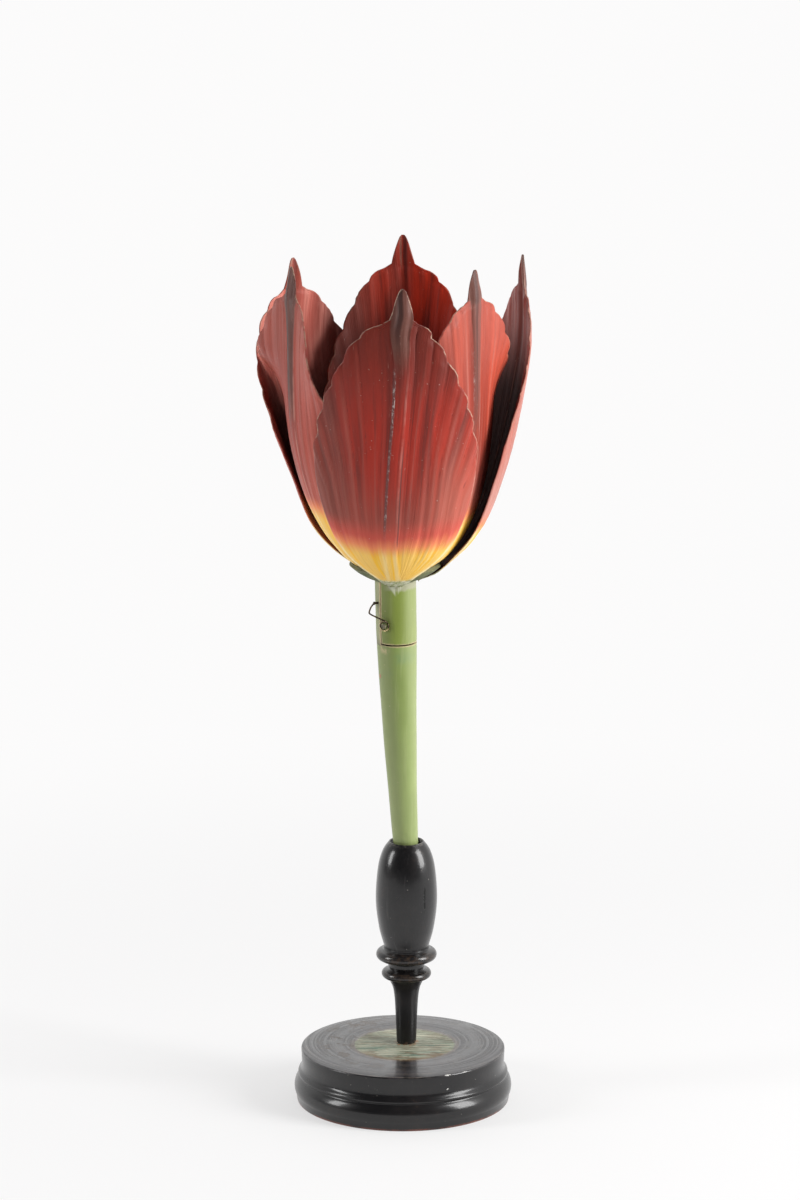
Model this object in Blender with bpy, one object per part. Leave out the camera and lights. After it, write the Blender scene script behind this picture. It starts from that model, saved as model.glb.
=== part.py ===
"""Take-apart botanical model of a tulip flower on a turned wooden stand.

Metres, +Z up. The origin is the centre of the base's underside, and the model's front faces -Y.
The stem lifts out of the post's socket. Half of the upper stem comes off with three of the six
tepals once the wire hook beside the seam is turned away.
"""

import math
from collections import namedtuple

import bmesh
import bpy
from mathutils import Matrix, Vector

# Clearances
GAP = 0.0003
OVERSHOOT = 0.01
TEPAL_CLEARANCE = 0.0005
SEAM_GAP = 0.0004
CUT_GAP = 0.0008

# Turned base
BASE_HEIGHT = 0.0313
BASE_TOP_RADIUS = 0.0586
BASE_GROOVE_RADIUS = 0.0582
BASE_BEAD_RADIUS = 0.0625
BASE_FOOT_RADIUS = 0.0612
BASE_GROOVE_HEIGHT = 0.0192
BASE_BEAD_HEIGHT = 0.0075
BASE_BAND_RADIUS = 0.0603
BASE_BAND_FOOT = 0.0150
BASE_BAND_TOP = 0.0180
BASE_EDGE = 0.0008

# Turned post, which stands a little behind the middle of the base
POST_X = 0.0020
POST_Y = 0.0070
TENON_RADIUS = 0.0046
TENON_LENGTH = 0.0200
NECK_FOOT_RADIUS = 0.0056
NECK_TAPER = 0.0013
NECK_FLARE = 0.0008
NECK_TOP_HEIGHT = 0.0645
LOWER_RING_RADIUS = 0.0143
LOWER_RING_HEIGHT = 0.0734
LOWER_RING_THICKNESS = 0.0048
COLLAR_RADIUS = 0.0098
WAIST_RADIUS = 0.0106
WAIST_HEIGHT = 0.0790
WAIST_LENGTH = 0.0022
UPPER_RING_RADIUS = 0.0174
UPPER_RING_HEIGHT = 0.0849
UPPER_RING_THICKNESS = 0.0058
BULB_FOOT_RADIUS = 0.0130
BULB_FOOT_HEIGHT = 0.0905
BULB_RADIUS = 0.0177
BULB_HEIGHT = 0.1180
POST_HEIGHT = 0.1526
RIM_RADIUS = 0.0100
# The bulb's swelling, as (share of the height, share of the swelling) below and above its widest place
BULB_BELOW = [(0.0, 0.0), (0.4, 0.61), (1.0, 1.0)]
BULB_ABOVE = [(0.54, 0.84), (0.84, 0.48), (1.0, 0.0)]
SOCKET_RADIUS = 0.0090
SOCKET_DEPTH = 0.0120
DOWEL_RADIUS = 0.0040
DOWEL_IN_POST = 0.0300
DOWEL_IN_STEM = 0.0340
DOWEL_CHAMFER = 0.0006

# Stem, which bends from the socket to the flower's axis
STEM_FOOT_X = 0.0022
STEM_FOOT_RADIUS = 0.0069
STEM_RADIUS = 0.0118
STEM_TOP_HEIGHT = 0.3080
STEM_SWELL_HEIGHT = STEM_TOP_HEIGHT - 0.0300
STEM_BEND = 0.60
FLOWER_X = -0.0043
FLOWER_Y = 0.0050

BLOCK_REACH = 0.06

# Removable half: the seam's plane faces SEAM_FACING, and the half slides off along FRONT_SLIDE
CUT_HEIGHT = STEM_TOP_HEIGHT - 0.0368
SEAM_FACING = math.radians(311)
FRONT_SLIDE = math.radians(329)
PEG_RADIUS = 0.0014
PEG_LENGTH = 0.0090
PEG_HEIGHTS = {
    "locating_peg_lower": STEM_TOP_HEIGHT - 0.0295,
    "locating_peg_upper": STEM_TOP_HEIGHT - 0.0070,
}

# Wire hook, its pin on the removable half and its catch on the fixed half
WIRE_RADIUS = 0.00045
HOOK_RING_RADIUS = 0.0027
RING_START = -268
RING_END = 50
RING_STEPS = 14
LATCH_FACING = math.radians(238.5)
LATCH_HEIGHT = STEM_TOP_HEIGHT - 0.0249
PIN_RADIUS = 0.0009
PIN_HEAD_RADIUS = 0.0015
PIN_DEPTH = 0.0045
NAIL_HEAD_THICKNESS = 0.0006
HOOK_STANDOFF = 0.0005
CATCH_FACING = math.radians(210)
CATCH_HEIGHT = STEM_TOP_HEIGHT - 0.0124
CATCH_RADIUS = 0.0007
CATCH_HEAD_RADIUS = 0.0010
CATCH_REACH = 0.0022
# The hook's way from its ring, as (left, up, out) from the pivot, its bow, and its end beside the catch
HOOK_NECK = [(-0.0006, 0.0036, 0.0016), (0.0042, 0.0056, 0.0030)]
BOW_FACING = math.radians(207)
BOW_RISE = 0.0068
BOW_REACH = 0.0052
HOOK_END_FACING = math.radians(201)
HOOK_END_REACH = 0.0006

# Receptacle: a shallow green dish on the stem, as (radius, height above the stem) of its outside
DISH_OUTSIDE = [(0.0118, 0.0), (0.0165, 0.0018), (0.0222, 0.0052), (0.0262, 0.0086)]
DISH_THICKNESS = 0.0020
DISH_FLOOR_RADIUS = 0.0135
PISTIL_SEAT_RADIUS = 0.0080

# Tepals, as (radius, height above the stem) of the middle of each whorl above the dish
TEPAL_THICKNESS = 0.0020
EDGE_THINNING = 0.72
FOOT_THINNING = 0.5
FOOT_END = 0.05
CLAW_LENGTH = 0.0012
CLAW_FLARE = 0.0004
OUTER_PROFILE = [
    (0.0345, 0.0150), (0.0420, 0.0230), (0.0475, 0.0305), (0.0515, 0.0380), (0.0555, 0.0480),
    (0.0595, 0.0600), (0.0640, 0.0750), (0.0680, 0.0920), (0.0715, 0.1100), (0.0745, 0.1300),
    (0.0755, 0.1480), (0.0750, 0.1660), (0.0735, 0.1828),
]
INNER_PROFILE = [
    (0.0300, 0.0165), (0.0370, 0.0255), (0.0430, 0.0360), (0.0480, 0.0480), (0.0525, 0.0640),
    (0.0560, 0.0820), (0.0590, 0.1030), (0.0610, 0.1260), (0.0620, 0.1480), (0.0615, 0.1680),
    (0.0590, 0.1870),
]
# Half width of a tepal along its midrib, as (share of the length, half width)
OUTLINE = [
    (0.000, 0.0040), (0.030, 0.0055), (0.080, 0.0112), (0.140, 0.0230), (0.217, 0.0335),
    (0.300, 0.0415), (0.400, 0.0478), (0.500, 0.0500), (0.570, 0.0478), (0.640, 0.0440),
    (0.700, 0.0395), (0.750, 0.0345), (0.790, 0.0305), (0.825, 0.0265), (0.855, 0.0225),
    (0.885, 0.0168), (0.900, 0.0118), (0.912, 0.0062),
]
CUSP_START = 0.912
CUSP_HALF_WIDTH = 0.0066
CUSP_ROUNDING = 0.72
CUSP_TIP_HALF_WIDTH = 0.0008
WIDEST_SHARE = 0.50
FAN_SPREAD = 0.65
SCALLOPS = 7
SCALLOP_DEPTH = 0.0018
KEEL_HEIGHT = 0.0022
KEEL_HALF_WIDTH = 0.0070

# Where along a tepal each of its movements comes in, as shares of the length
PUSH_SHARES = (0.1, 0.5)
TIP_PUSH_SHARES = (0.5, 1.0)
LEAN_SHARES = (0.35, 0.85)
TIP_LEAN_SHARES = (0.85, 0.94)
BEND_SHARES = (0.1, 0.4)
KEEL_SHARES = (0.12, 0.3)
SWAY_END = 0.8

# Where each tepal stands. size scales its height. push moves its middle outward and tip_push its top, lean
# and tip_lean move them sideways, and twist turns the top. bend is its roundness across, where 1 follows the
# whorl's circle; each half goes over to a roundness of its own between the shares start and end. sway bows
# the midrib sideways.
Tepal = namedtuple(
    "Tepal", "whorl azimuth size push tip_push lean tip_lean twist sway bend low_half high_half"
)
Half = namedtuple("Half", "bend start end")
TEPALS = {
    "tepal_front": Tepal(
        "outer", 270, 1.0, 0.0, 0.0, 0.0, 0.004, 0, -0.0018, 1.0, Half(0.6, 0.55, 0.92),
        Half(0.6, 0.55, 0.92)),
    "tepal_right_back": Tepal(
        "outer", 18, 1.0, 0.0, 0.0, 0.0, 0.0, -4, 0.0, 0.9, Half(0.5, 0.55, 0.92), Half(0.15, 0.55, 0.92)),
    "tepal_left_back": Tepal(
        "outer", 132, 0.965, 0.003, -0.005, 0.013, -0.001, 0, 0.0, 1.25, Half(0.7, 0.55, 0.92),
        Half(0.85, 0.55, 0.92)),
    "tepal_right_front": Tepal(
        "inner", 325, 1.0, -0.002, 0.001, -0.0105, 0.0015, 0, 0.0, 1.0, Half(0.7, 0.57, 0.82),
        Half(-0.2, 0.57, 0.82)),
    "tepal_back": Tepal(
        "inner", 86, 1.0, 0.0, 0.0, -0.001, 0.001, 0, 0.0, 1.0, Half(0.8, 0.55, 0.92), Half(0.8, 0.55, 0.92)),
    "tepal_left_front": Tepal(
        "inner", 198, 0.985, 0.0025, -0.0027, 0.0, 0.0, 9, 0.0, 1.1, Half(-0.2, 0.56, 0.75),
        Half(-0.6, 0.48, 0.78)),
}
ROWS_BELOW = 12
ROWS_ABOVE = 22
COLUMNS = (-1.0, -0.72, -0.42, -0.14, 0.0, 0.14, 0.42, 0.72, 1.0)

# Stamens, one before each tepal, and the pistil
STAMEN_CIRCLE = 0.0115
FILAMENT_FOOT_RADIUS = 0.0017
FILAMENT_TOP_RADIUS = 0.0010
FILAMENT_LENGTH = 0.0340
STAMEN_LEAN = math.radians(7)
ANTHER_RADIUS = 0.0032
ANTHER_LENGTH = 0.0300
ANTHER_LEAN = 0.0022
ANTHER_FLATNESS = 0.80
ANTHER_GROOVE = 0.16
FILAMENT_LEVELS = (0.0, 0.5, 1.0)
ANTHER_LEVELS = [(0.0, 0.5), (0.08, 0.72), (0.3, 0.98), (0.6, 1.0), (0.86, 0.8), (1.0, 0.45)]
OVARY_RADIUS = 0.0068
OVARY_LENGTH = 0.0560
OVARY_HOLLOW = 0.22
OVARY_LEVELS = [(0.0, 0.78), (0.06, 0.9), (0.25, 1.0), (0.6, 0.97), (0.88, 0.82), (1.0, 0.7)]
STIGMA_RADIUS = 0.0105
STIGMA_HEIGHT = 0.0100
STIGMA_HOLLOW = 0.45
STIGMA_LEVELS = [(0.0, 0.45), (0.25, 0.72), (0.6, 1.0), (0.85, 0.98), (1.0, 0.72)]

TURNED_STEPS = 32
STEM_STEPS = 32
STEM_LEVELS = 16
BASE_STEPS = 48
DOWEL_STEPS = 24
DISH_STEPS = 32
SMALL_STEPS = 12
FILAMENT_STEPS = 8
ANTHER_STEPS = 16
PISTIL_STEPS = 24


def clear_scene():
    for item in list(bpy.data.objects):
        bpy.data.objects.remove(item, do_unlink=True)


def make_material(name, colour, roughness, metallic=0.0):
    material = bpy.data.materials.new(name)
    material.use_nodes = True
    shader = material.node_tree.nodes["Principled BSDF"]
    shader.inputs["Base Color"].default_value = (*colour, 1.0)
    shader.inputs["Roughness"].default_value = roughness
    shader.inputs["Metallic"].default_value = metallic
    return material


def add_object(name, mesh_data, material, smooth_below=40):
    """Turns a bmesh into a named object, rounded where faces meet at less than smooth_below degrees."""
    bmesh.ops.recalc_face_normals(mesh_data, faces=mesh_data.faces)
    mesh = bpy.data.meshes.new(name)
    mesh_data.to_mesh(mesh)
    mesh_data.free()
    mesh.materials.append(material)
    mesh.shade_smooth()
    mesh.set_sharp_from_angle(angle=math.radians(smooth_below))
    item = bpy.data.objects.new(name, mesh)
    bpy.context.scene.collection.objects.link(item)
    return item


def add_cutter(name, mesh_data):
    bmesh.ops.recalc_face_normals(mesh_data, faces=mesh_data.faces)
    mesh = bpy.data.meshes.new(name)
    mesh_data.to_mesh(mesh)
    mesh_data.free()
    item = bpy.data.objects.new(name, mesh)
    item.hide_render = True
    item.display_type = "WIRE"
    bpy.context.scene.collection.objects.link(item)
    return item


def use_cutter(item, cutter, operation):
    boolean = item.modifiers.new(cutter.name, "BOOLEAN")
    boolean.operation = operation
    boolean.solver = "EXACT"
    boolean.object = cutter


def skin_rings(rings):
    """Closes a stack of rings of points into a solid; a ring of one point is a pole."""
    mesh_data = bmesh.new()
    made = [[mesh_data.verts.new(point) for point in ring] for ring in rings]
    for low, high in zip(made, made[1:]):
        count = max(len(low), len(high))
        for step in range(count):
            after = (step + 1) % count
            corners = [low[step % len(low)]]
            if len(low) > 1:
                corners.append(low[after])
            if len(high) > 1:
                corners.append(high[after])
            corners.append(high[step % len(high)])
            mesh_data.faces.new(corners)
    for end in (made[0], made[-1]):
        if len(end) > 1:
            mesh_data.faces.new(end)
    return mesh_data


def turn_profile(profile, steps, centre=(0.0, 0.0), foot=0.0):
    """A turned solid from (radius, height) points; a radius of zero is a pole on the axis."""
    rings = []
    for radius, height in profile:
        if radius == 0.0:
            rings.append([(centre[0], centre[1], foot + height)])
            continue
        angles = [math.tau * step / steps for step in range(steps)]
        rings.append([
            (centre[0] + radius * math.cos(a), centre[1] + radius * math.sin(a), foot + height)
            for a in angles
        ])
    return skin_rings(rings)


def smooth_line(points, per_span):
    """Points along a smooth curve through the given points (Catmull-Rom)."""
    padded = [points[0], *points, points[-1]]
    line = []
    for a, b, c, d in zip(padded, padded[1:], padded[2:], padded[3:]):
        for step in range(per_span):
            t = step / per_span
            line.append(tuple(
                0.5 * (2 * q + (r - p) * t + (2 * p - 5 * q + 4 * r - s) * t ** 2
                       + (3 * q - p - 3 * r + s) * t ** 3)
                for p, q, r, s in zip(a, b, c, d)
            ))
    line.append(tuple(points[-1]))
    return line


def value_at(table, place):
    """Reads a table of (place, value) pairs between its entries."""
    if place <= table[0][0]:
        return table[0][1]
    for (low, before), (high, after) in zip(table, table[1:]):
        if place <= high:
            return before + (after - before) * (place - low) / (high - low)
    return table[-1][1]


def arc_points(centre, radius, start, end, steps):
    """(radius, height) points on an arc, in degrees from the outward direction."""
    angles = [math.radians(start + (end - start) * step / steps) for step in range(steps + 1)]
    return [(centre[0] + radius * math.cos(a), centre[1] + radius * math.sin(a)) for a in angles]


def facing(angle):
    return Vector((math.cos(angle), math.sin(angle), 0.0))


# Stand


def make_base(material):
    bead_centre = (BASE_BEAD_RADIUS - BASE_BEAD_HEIGHT, BASE_BEAD_HEIGHT)
    profile = [(0.0, 0.0), (BASE_FOOT_RADIUS - BASE_EDGE, 0.0), (BASE_FOOT_RADIUS, BASE_EDGE)]
    profile += arc_points(bead_centre, BASE_BEAD_HEIGHT, -28, 58, 5)
    profile += [
        (BASE_BAND_RADIUS, BASE_BAND_FOOT),
        (BASE_BAND_RADIUS, BASE_BAND_TOP),
        (BASE_GROOVE_RADIUS + 0.5 * BASE_EDGE, BASE_GROOVE_HEIGHT),
        (BASE_GROOVE_RADIUS, BASE_GROOVE_HEIGHT + 2 * BASE_EDGE),
        (BASE_TOP_RADIUS, BASE_HEIGHT - BASE_EDGE),
        (BASE_TOP_RADIUS - BASE_EDGE, BASE_HEIGHT),
        (0.0, BASE_HEIGHT),
    ]
    base = add_object("base", turn_profile(profile, BASE_STEPS), material)
    hole = turn_profile(
        [(0.0, 0.0), (TENON_RADIUS + GAP, 0.0), (TENON_RADIUS + GAP, TENON_LENGTH + OVERSHOOT),
         (0.0, TENON_LENGTH + OVERSHOOT)],
        SMALL_STEPS, (POST_X, POST_Y), BASE_HEIGHT - TENON_LENGTH - GAP,
    )
    use_cutter(base, add_cutter("base_hole", hole), "DIFFERENCE")


def ring_profile(radius, height, inner, thickness):
    """A turned ring's rounded edge between two smaller radii."""
    half = 0.5 * thickness
    edge = radius - half
    points = [(inner, height - half * 1.15)]
    points += arc_points((edge, height), half, -72, 72, 4)
    points.append((inner, height + half * 1.15))
    return points


def make_post(material):
    profile = [(0.0, BASE_HEIGHT - TENON_LENGTH), (TENON_RADIUS, BASE_HEIGHT - TENON_LENGTH)]
    profile += [(TENON_RADIUS, BASE_HEIGHT + GAP), (NECK_FOOT_RADIUS, BASE_HEIGHT + GAP)]
    for share in (0.5, 0.8, 0.9, 1.0):
        height = BASE_HEIGHT + share * (NECK_TOP_HEIGHT - BASE_HEIGHT)
        profile.append((NECK_FOOT_RADIUS + NECK_TAPER * share + NECK_FLARE * share ** 8, height))
    profile += ring_profile(LOWER_RING_RADIUS, LOWER_RING_HEIGHT, COLLAR_RADIUS, LOWER_RING_THICKNESS)
    profile += [
        (WAIST_RADIUS, WAIST_HEIGHT - 0.5 * WAIST_LENGTH),
        (WAIST_RADIUS, WAIST_HEIGHT + 0.5 * WAIST_LENGTH),
    ]
    profile += ring_profile(UPPER_RING_RADIUS, UPPER_RING_HEIGHT, BULB_FOOT_RADIUS, UPPER_RING_THICKNESS)
    bulb = [
        (BULB_FOOT_RADIUS + (BULB_RADIUS - BULB_FOOT_RADIUS) * swelling,
         BULB_FOOT_HEIGHT + (BULB_HEIGHT - BULB_FOOT_HEIGHT) * share)
        for share, swelling in BULB_BELOW
    ]
    bulb += [
        (RIM_RADIUS + (BULB_RADIUS - RIM_RADIUS) * swelling,
         BULB_HEIGHT + (POST_HEIGHT - BULB_HEIGHT) * share)
        for share, swelling in BULB_ABOVE
    ]
    profile += smooth_line(bulb, 2)
    socket_floor = POST_HEIGHT - SOCKET_DEPTH
    bore = DOWEL_RADIUS + GAP
    bore_floor = socket_floor - DOWEL_IN_POST - GAP
    profile += [
        (SOCKET_RADIUS, POST_HEIGHT - GAP), (SOCKET_RADIUS, socket_floor), (bore, socket_floor),
        (bore, bore_floor), (0.0, bore_floor),
    ]
    add_object("post", turn_profile(profile, TURNED_STEPS, (POST_X, POST_Y)), material)


# Stem


def stem_foot_height():
    return POST_HEIGHT - SOCKET_DEPTH + GAP


def stem_centre(height):
    """The stem's bent centre line: straight at the flower, leaning more towards the socket."""
    share = (STEM_TOP_HEIGHT - height) / (STEM_TOP_HEIGHT - stem_foot_height())
    bend = (1.0 - STEM_BEND) * share + STEM_BEND * share ** 2
    return (
        FLOWER_X + (STEM_FOOT_X - FLOWER_X) * bend,
        FLOWER_Y + (POST_Y - FLOWER_Y) * bend,
    )


def stem_radius(height):
    share = (height - stem_foot_height()) / (STEM_SWELL_HEIGHT - stem_foot_height())
    return STEM_FOOT_RADIUS + (STEM_RADIUS - STEM_FOOT_RADIUS) * min(1.0, share)


def whole_stem():
    foot = stem_foot_height()
    rings = []
    for level in range(STEM_LEVELS + 1):
        height = foot + (STEM_TOP_HEIGHT - foot) * level / STEM_LEVELS
        x, y = stem_centre(height)
        radius = stem_radius(height)
        angles = [math.tau * step / STEM_STEPS for step in range(STEM_STEPS)]
        rings.append([(x + radius * math.cos(a), y + radius * math.sin(a), height) for a in angles])
    return skin_rings(rings)


def front_block(inset, bottom, top, notch=0.0):
    """A block on the front side of the seam's plane, with a round notch about the flower's axis."""
    reach = BLOCK_REACH
    outline = [(-reach, inset)]
    if notch:
        start = math.asin(inset / notch)
        steps = 12
        for step in range(steps + 1):
            angle = math.pi - start - (math.pi - 2 * start) * step / steps
            outline.append((notch * math.cos(angle), notch * math.sin(angle)))
    outline += [(reach, inset), (reach, reach), (-reach, reach)]
    forward = facing(SEAM_FACING)
    sideways = facing(SEAM_FACING + math.pi / 2)
    axis = Vector((FLOWER_X, FLOWER_Y, 0.0))
    rings = []
    for height in (bottom, top):
        rings.append([axis + sideways * a + forward * b + Vector((0, 0, height)) for a, b in outline])
    return skin_rings(rings)


def rod(start, direction, length, radius, steps=SMALL_STEPS):
    """A round rod from start along direction."""
    direction = direction.normalized()
    turn = direction.to_track_quat("Z", "Y").to_matrix()
    rings = []
    for place in (0.0, length):
        rings.append([
            start + direction * place
            + turn @ Vector((radius * math.cos(a), radius * math.sin(a), 0.0))
            for a in [math.tau * step / steps for step in range(steps)]
        ])
    return skin_rings(rings)


def peg_start(height, extra=0.0):
    axis = Vector((FLOWER_X, FLOWER_Y, height))
    return axis - facing(FRONT_SLIDE) * (0.5 * PEG_LENGTH + extra)


def surface_point(angle, height, above=0.0):
    """A point over the stem's surface at an azimuth, used for the pins and the hook."""
    x, y = stem_centre(height)
    return Vector((x, y, height)) + facing(angle) * (stem_radius(height) + above)


def make_stem(green, wood):
    stem = add_object("stem", whole_stem(), green)
    opening = add_cutter("front_opening", front_block(0.0, CUT_HEIGHT, STEM_TOP_HEIGHT + OVERSHOOT))
    use_cutter(stem, opening, "DIFFERENCE")
    foot = stem_foot_height()
    bore_length = DOWEL_IN_STEM + GAP + OVERSHOOT
    bore = turn_profile(
        [(0.0, 0.0), (DOWEL_RADIUS + GAP, 0.0), (DOWEL_RADIUS + GAP, bore_length), (0.0, bore_length)],
        DOWEL_STEPS, (POST_X, POST_Y), foot - OVERSHOOT,
    )
    use_cutter(stem, add_cutter("dowel_bore", bore), "DIFFERENCE")
    dowel_foot = POST_HEIGHT - SOCKET_DEPTH - DOWEL_IN_POST
    length = foot + DOWEL_IN_STEM - dowel_foot
    profile = [
        (0.0, 0.0), (DOWEL_RADIUS - DOWEL_CHAMFER, 0.0), (DOWEL_RADIUS, DOWEL_CHAMFER),
        (DOWEL_RADIUS, length - DOWEL_CHAMFER), (DOWEL_RADIUS - DOWEL_CHAMFER, length), (0.0, length),
    ]
    add_object("stem_dowel", turn_profile(profile, DOWEL_STEPS, (POST_X, POST_Y), dowel_foot), wood)
    return stem


def make_front_half(green):
    half = add_object("stem_front_half", whole_stem(), green)
    block = front_block(SEAM_GAP, CUT_HEIGHT + CUT_GAP, STEM_TOP_HEIGHT + OVERSHOOT)
    use_cutter(half, add_cutter("front_keep", block), "INTERSECT")
    return half


def make_pegs(stem, front_half, material):
    along = facing(FRONT_SLIDE)
    for name, height in PEG_HEIGHTS.items():
        add_object(name, rod(peg_start(height), along, PEG_LENGTH, PEG_RADIUS), material)
        hole = rod(peg_start(height, GAP), along, PEG_LENGTH + 2 * GAP, PEG_RADIUS + GAP)
        cutter = add_cutter(name + "_hole", hole)
        use_cutter(stem, cutter, "DIFFERENCE")
        use_cutter(front_half, cutter, "DIFFERENCE")


def nail(name, angle, height, radius, head_radius, reach, material):
    """A nail set radially in the stem, with its head held off the surface."""
    start = surface_point(angle, height, -PIN_DEPTH)
    direction = facing(angle)
    turn = direction.to_track_quat("Z", "Y").to_matrix()
    depth = PIN_DEPTH + reach
    top = depth + NAIL_HEAD_THICKNESS
    profile = [
        (0.0, 0.0), (radius, 0.0), (radius, depth), (head_radius, depth),
        (head_radius, 0.5 * (depth + top)), (0.5 * head_radius, top), (0.0, top),
    ]
    mesh_data = turn_profile(profile, SMALL_STEPS)
    bmesh.ops.transform(mesh_data, matrix=Matrix.Translation(start) @ turn.to_4x4(), verts=mesh_data.verts)
    return add_object(name, mesh_data, material)


def make_latch(stem, front_half, metal):
    """The wire hook turns on a nail in the removable half and catches a nail in the fixed half."""
    ring_above = HOOK_STANDOFF + WIRE_RADIUS
    nail("latch_pin", LATCH_FACING, LATCH_HEIGHT, PIN_RADIUS, PIN_HEAD_RADIUS,
         ring_above + WIRE_RADIUS + GAP, metal)
    nail("catch_pin", CATCH_FACING, CATCH_HEIGHT, CATCH_RADIUS, CATCH_HEAD_RADIUS, CATCH_REACH, metal)
    for target, angle, height, radius in (
        (front_half, LATCH_FACING, LATCH_HEIGHT, PIN_RADIUS),
        (stem, CATCH_FACING, CATCH_HEIGHT, CATCH_RADIUS),
    ):
        start = surface_point(angle, height, -PIN_DEPTH - GAP)
        hole = rod(start, facing(angle), PIN_DEPTH + OVERSHOOT, radius + GAP)
        use_cutter(target, add_cutter(target.name + "_nail_hole", hole), "DIFFERENCE")

    out = facing(LATCH_FACING)
    left = facing(LATCH_FACING - math.pi / 2)
    up = Vector((0.0, 0.0, 1.0))
    pivot = surface_point(LATCH_FACING, LATCH_HEIGHT, ring_above)
    line = []
    for step in range(RING_STEPS + 1):
        angle = math.radians(RING_START + (RING_END - RING_START) * step / RING_STEPS)
        line.append(pivot + HOOK_RING_RADIUS * (up * math.sin(angle) - left * math.cos(angle)))
    bow = surface_point(BOW_FACING, LATCH_HEIGHT + BOW_RISE, BOW_REACH)
    end = surface_point(HOOK_END_FACING, CATCH_HEIGHT, WIRE_RADIUS + HOOK_END_REACH)
    way = [line[-1]]
    way += [pivot + left * across + up * rise + out * reach for across, rise, reach in HOOK_NECK]
    way += [bow, bow.lerp(end, 0.1) + up * HOOK_RING_RADIUS * 0.75, end]
    line += [Vector(point) for point in smooth_line([tuple(point) for point in way], 4)[1:]]
    wire(line, "latch_hook", WIRE_RADIUS, metal)


def wire(line, name, radius, material):
    curve = bpy.data.curves.new(name, "CURVE")
    curve.dimensions = "3D"
    spline = curve.splines.new("POLY")
    spline.points.add(len(line) - 1)
    for place, point in zip(spline.points, line):
        place.co = (*point, 1.0)
    curve.bevel_depth = radius
    curve.bevel_resolution = 1
    curve.use_fill_caps = True
    curve.materials.append(material)
    item = bpy.data.objects.new(name, curve)
    bpy.context.scene.collection.objects.link(item)
    return item


# Receptacle


def dish_line(offset):
    """The dish's outside in (radius, height), moved by offset along its normal, up and inward."""
    line = smooth_line(DISH_OUTSIDE, 3)
    moved = []
    for index, (radius, height) in enumerate(line):
        before = line[max(0, index - 1)]
        after = line[min(len(line) - 1, index + 1)]
        run, rise = after[0] - before[0], after[1] - before[1]
        length = math.hypot(run, rise)
        moved.append((radius - offset * rise / length, height + offset * run / length))
    return moved


def dish_floor():
    return value_at(dish_line(DISH_THICKNESS), DISH_FLOOR_RADIUS)


def whole_dish():
    foot = STEM_TOP_HEIGHT + GAP
    outside = [(radius, foot + height) for radius, height in smooth_line(DISH_OUTSIDE, 3)]
    inside = [
        (radius, foot + height)
        for radius, height in dish_line(DISH_THICKNESS) if radius > DISH_FLOOR_RADIUS
    ]
    floor = foot + dish_floor()
    profile = [(0.0, foot)] + outside + inside[::-1] + [(DISH_FLOOR_RADIUS, floor), (0.0, floor)]
    return turn_profile(profile, DISH_STEPS, (FLOWER_X, FLOWER_Y))


def make_receptacle(green):
    top = STEM_TOP_HEIGHT + 3 * OVERSHOOT
    bottom = STEM_TOP_HEIGHT - OVERSHOOT
    back = add_object("receptacle_back", whole_dish(), green)
    opening = add_cutter("dish_opening", front_block(0.0, bottom, top, PISTIL_SEAT_RADIUS))
    use_cutter(back, opening, "DIFFERENCE")
    front = add_object("receptacle_front", whole_dish(), green)
    keep = front_block(SEAM_GAP, bottom, top, PISTIL_SEAT_RADIUS + 2 * SEAM_GAP)
    use_cutter(front, add_cutter("dish_keep", keep), "INTERSECT")


# Tepals


def whorl_line(whorl):
    """The midrib of a whorl's tepals in (radius, height): along the dish first, then free."""
    clear = TEPAL_CLEARANCE + 0.5 * TEPAL_THICKNESS
    if whorl == "outer":
        claw = [(STEM_RADIUS + clear, -CLAW_LENGTH), (STEM_RADIUS + clear + CLAW_FLARE, -CLAW_FLARE)]
        points = claw + dish_line(-clear)[5::3] + OUTER_PROFILE
    else:
        on_dish = dish_line(DISH_THICKNESS + clear)
        points = [point for point in on_dish[::3] if point[0] > DISH_FLOOR_RADIUS] + INNER_PROFILE
    return smooth_line(points, 8)


def with_lengths(line):
    """Adds the share of the whole length to each point of a line."""
    lengths = [0.0]
    for before, after in zip(line, line[1:]):
        lengths.append(lengths[-1] + math.dist(before, after))
    return [(length / lengths[-1], *point) for length, point in zip(lengths, line)]


def plain_half_width(share):
    if share >= CUSP_START:
        up = (share - CUSP_START) / (1.0 - CUSP_START)
        return CUSP_TIP_HALF_WIDTH + (CUSP_HALF_WIDTH - CUSP_TIP_HALF_WIDTH) * (1.0 - up) ** CUSP_ROUNDING
    return value_at(SMOOTH_OUTLINE, share)


def fan_width(share):
    """Half width of the fan of veins, which spreads past the outline above the widest place."""
    if share <= WIDEST_SHARE:
        return plain_half_width(share)
    up = (share - WIDEST_SHARE) / (1.0 - WIDEST_SHARE)
    return plain_half_width(WIDEST_SHARE) * (1.0 + FAN_SPREAD * up)


def half_width(share):
    """The outline with its scallops, one for each group of veins that ends at the edge."""
    plain = plain_half_width(share)
    if share <= WIDEST_SHARE or share >= CUSP_START:
        return plain
    lobe = abs(math.sin(math.pi * SCALLOPS * plain / fan_width(share)))
    return plain + SCALLOP_DEPTH * (lobe - 0.5)


SMOOTH_OUTLINE = smooth_line(OUTLINE, 6)


def ease(low, high, place):
    """Rises smoothly from 0 at low to 1 at high."""
    part = min(1.0, max(0.0, (place - low) / (high - low)))
    return part * part * (3.0 - 2.0 * part)


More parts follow.
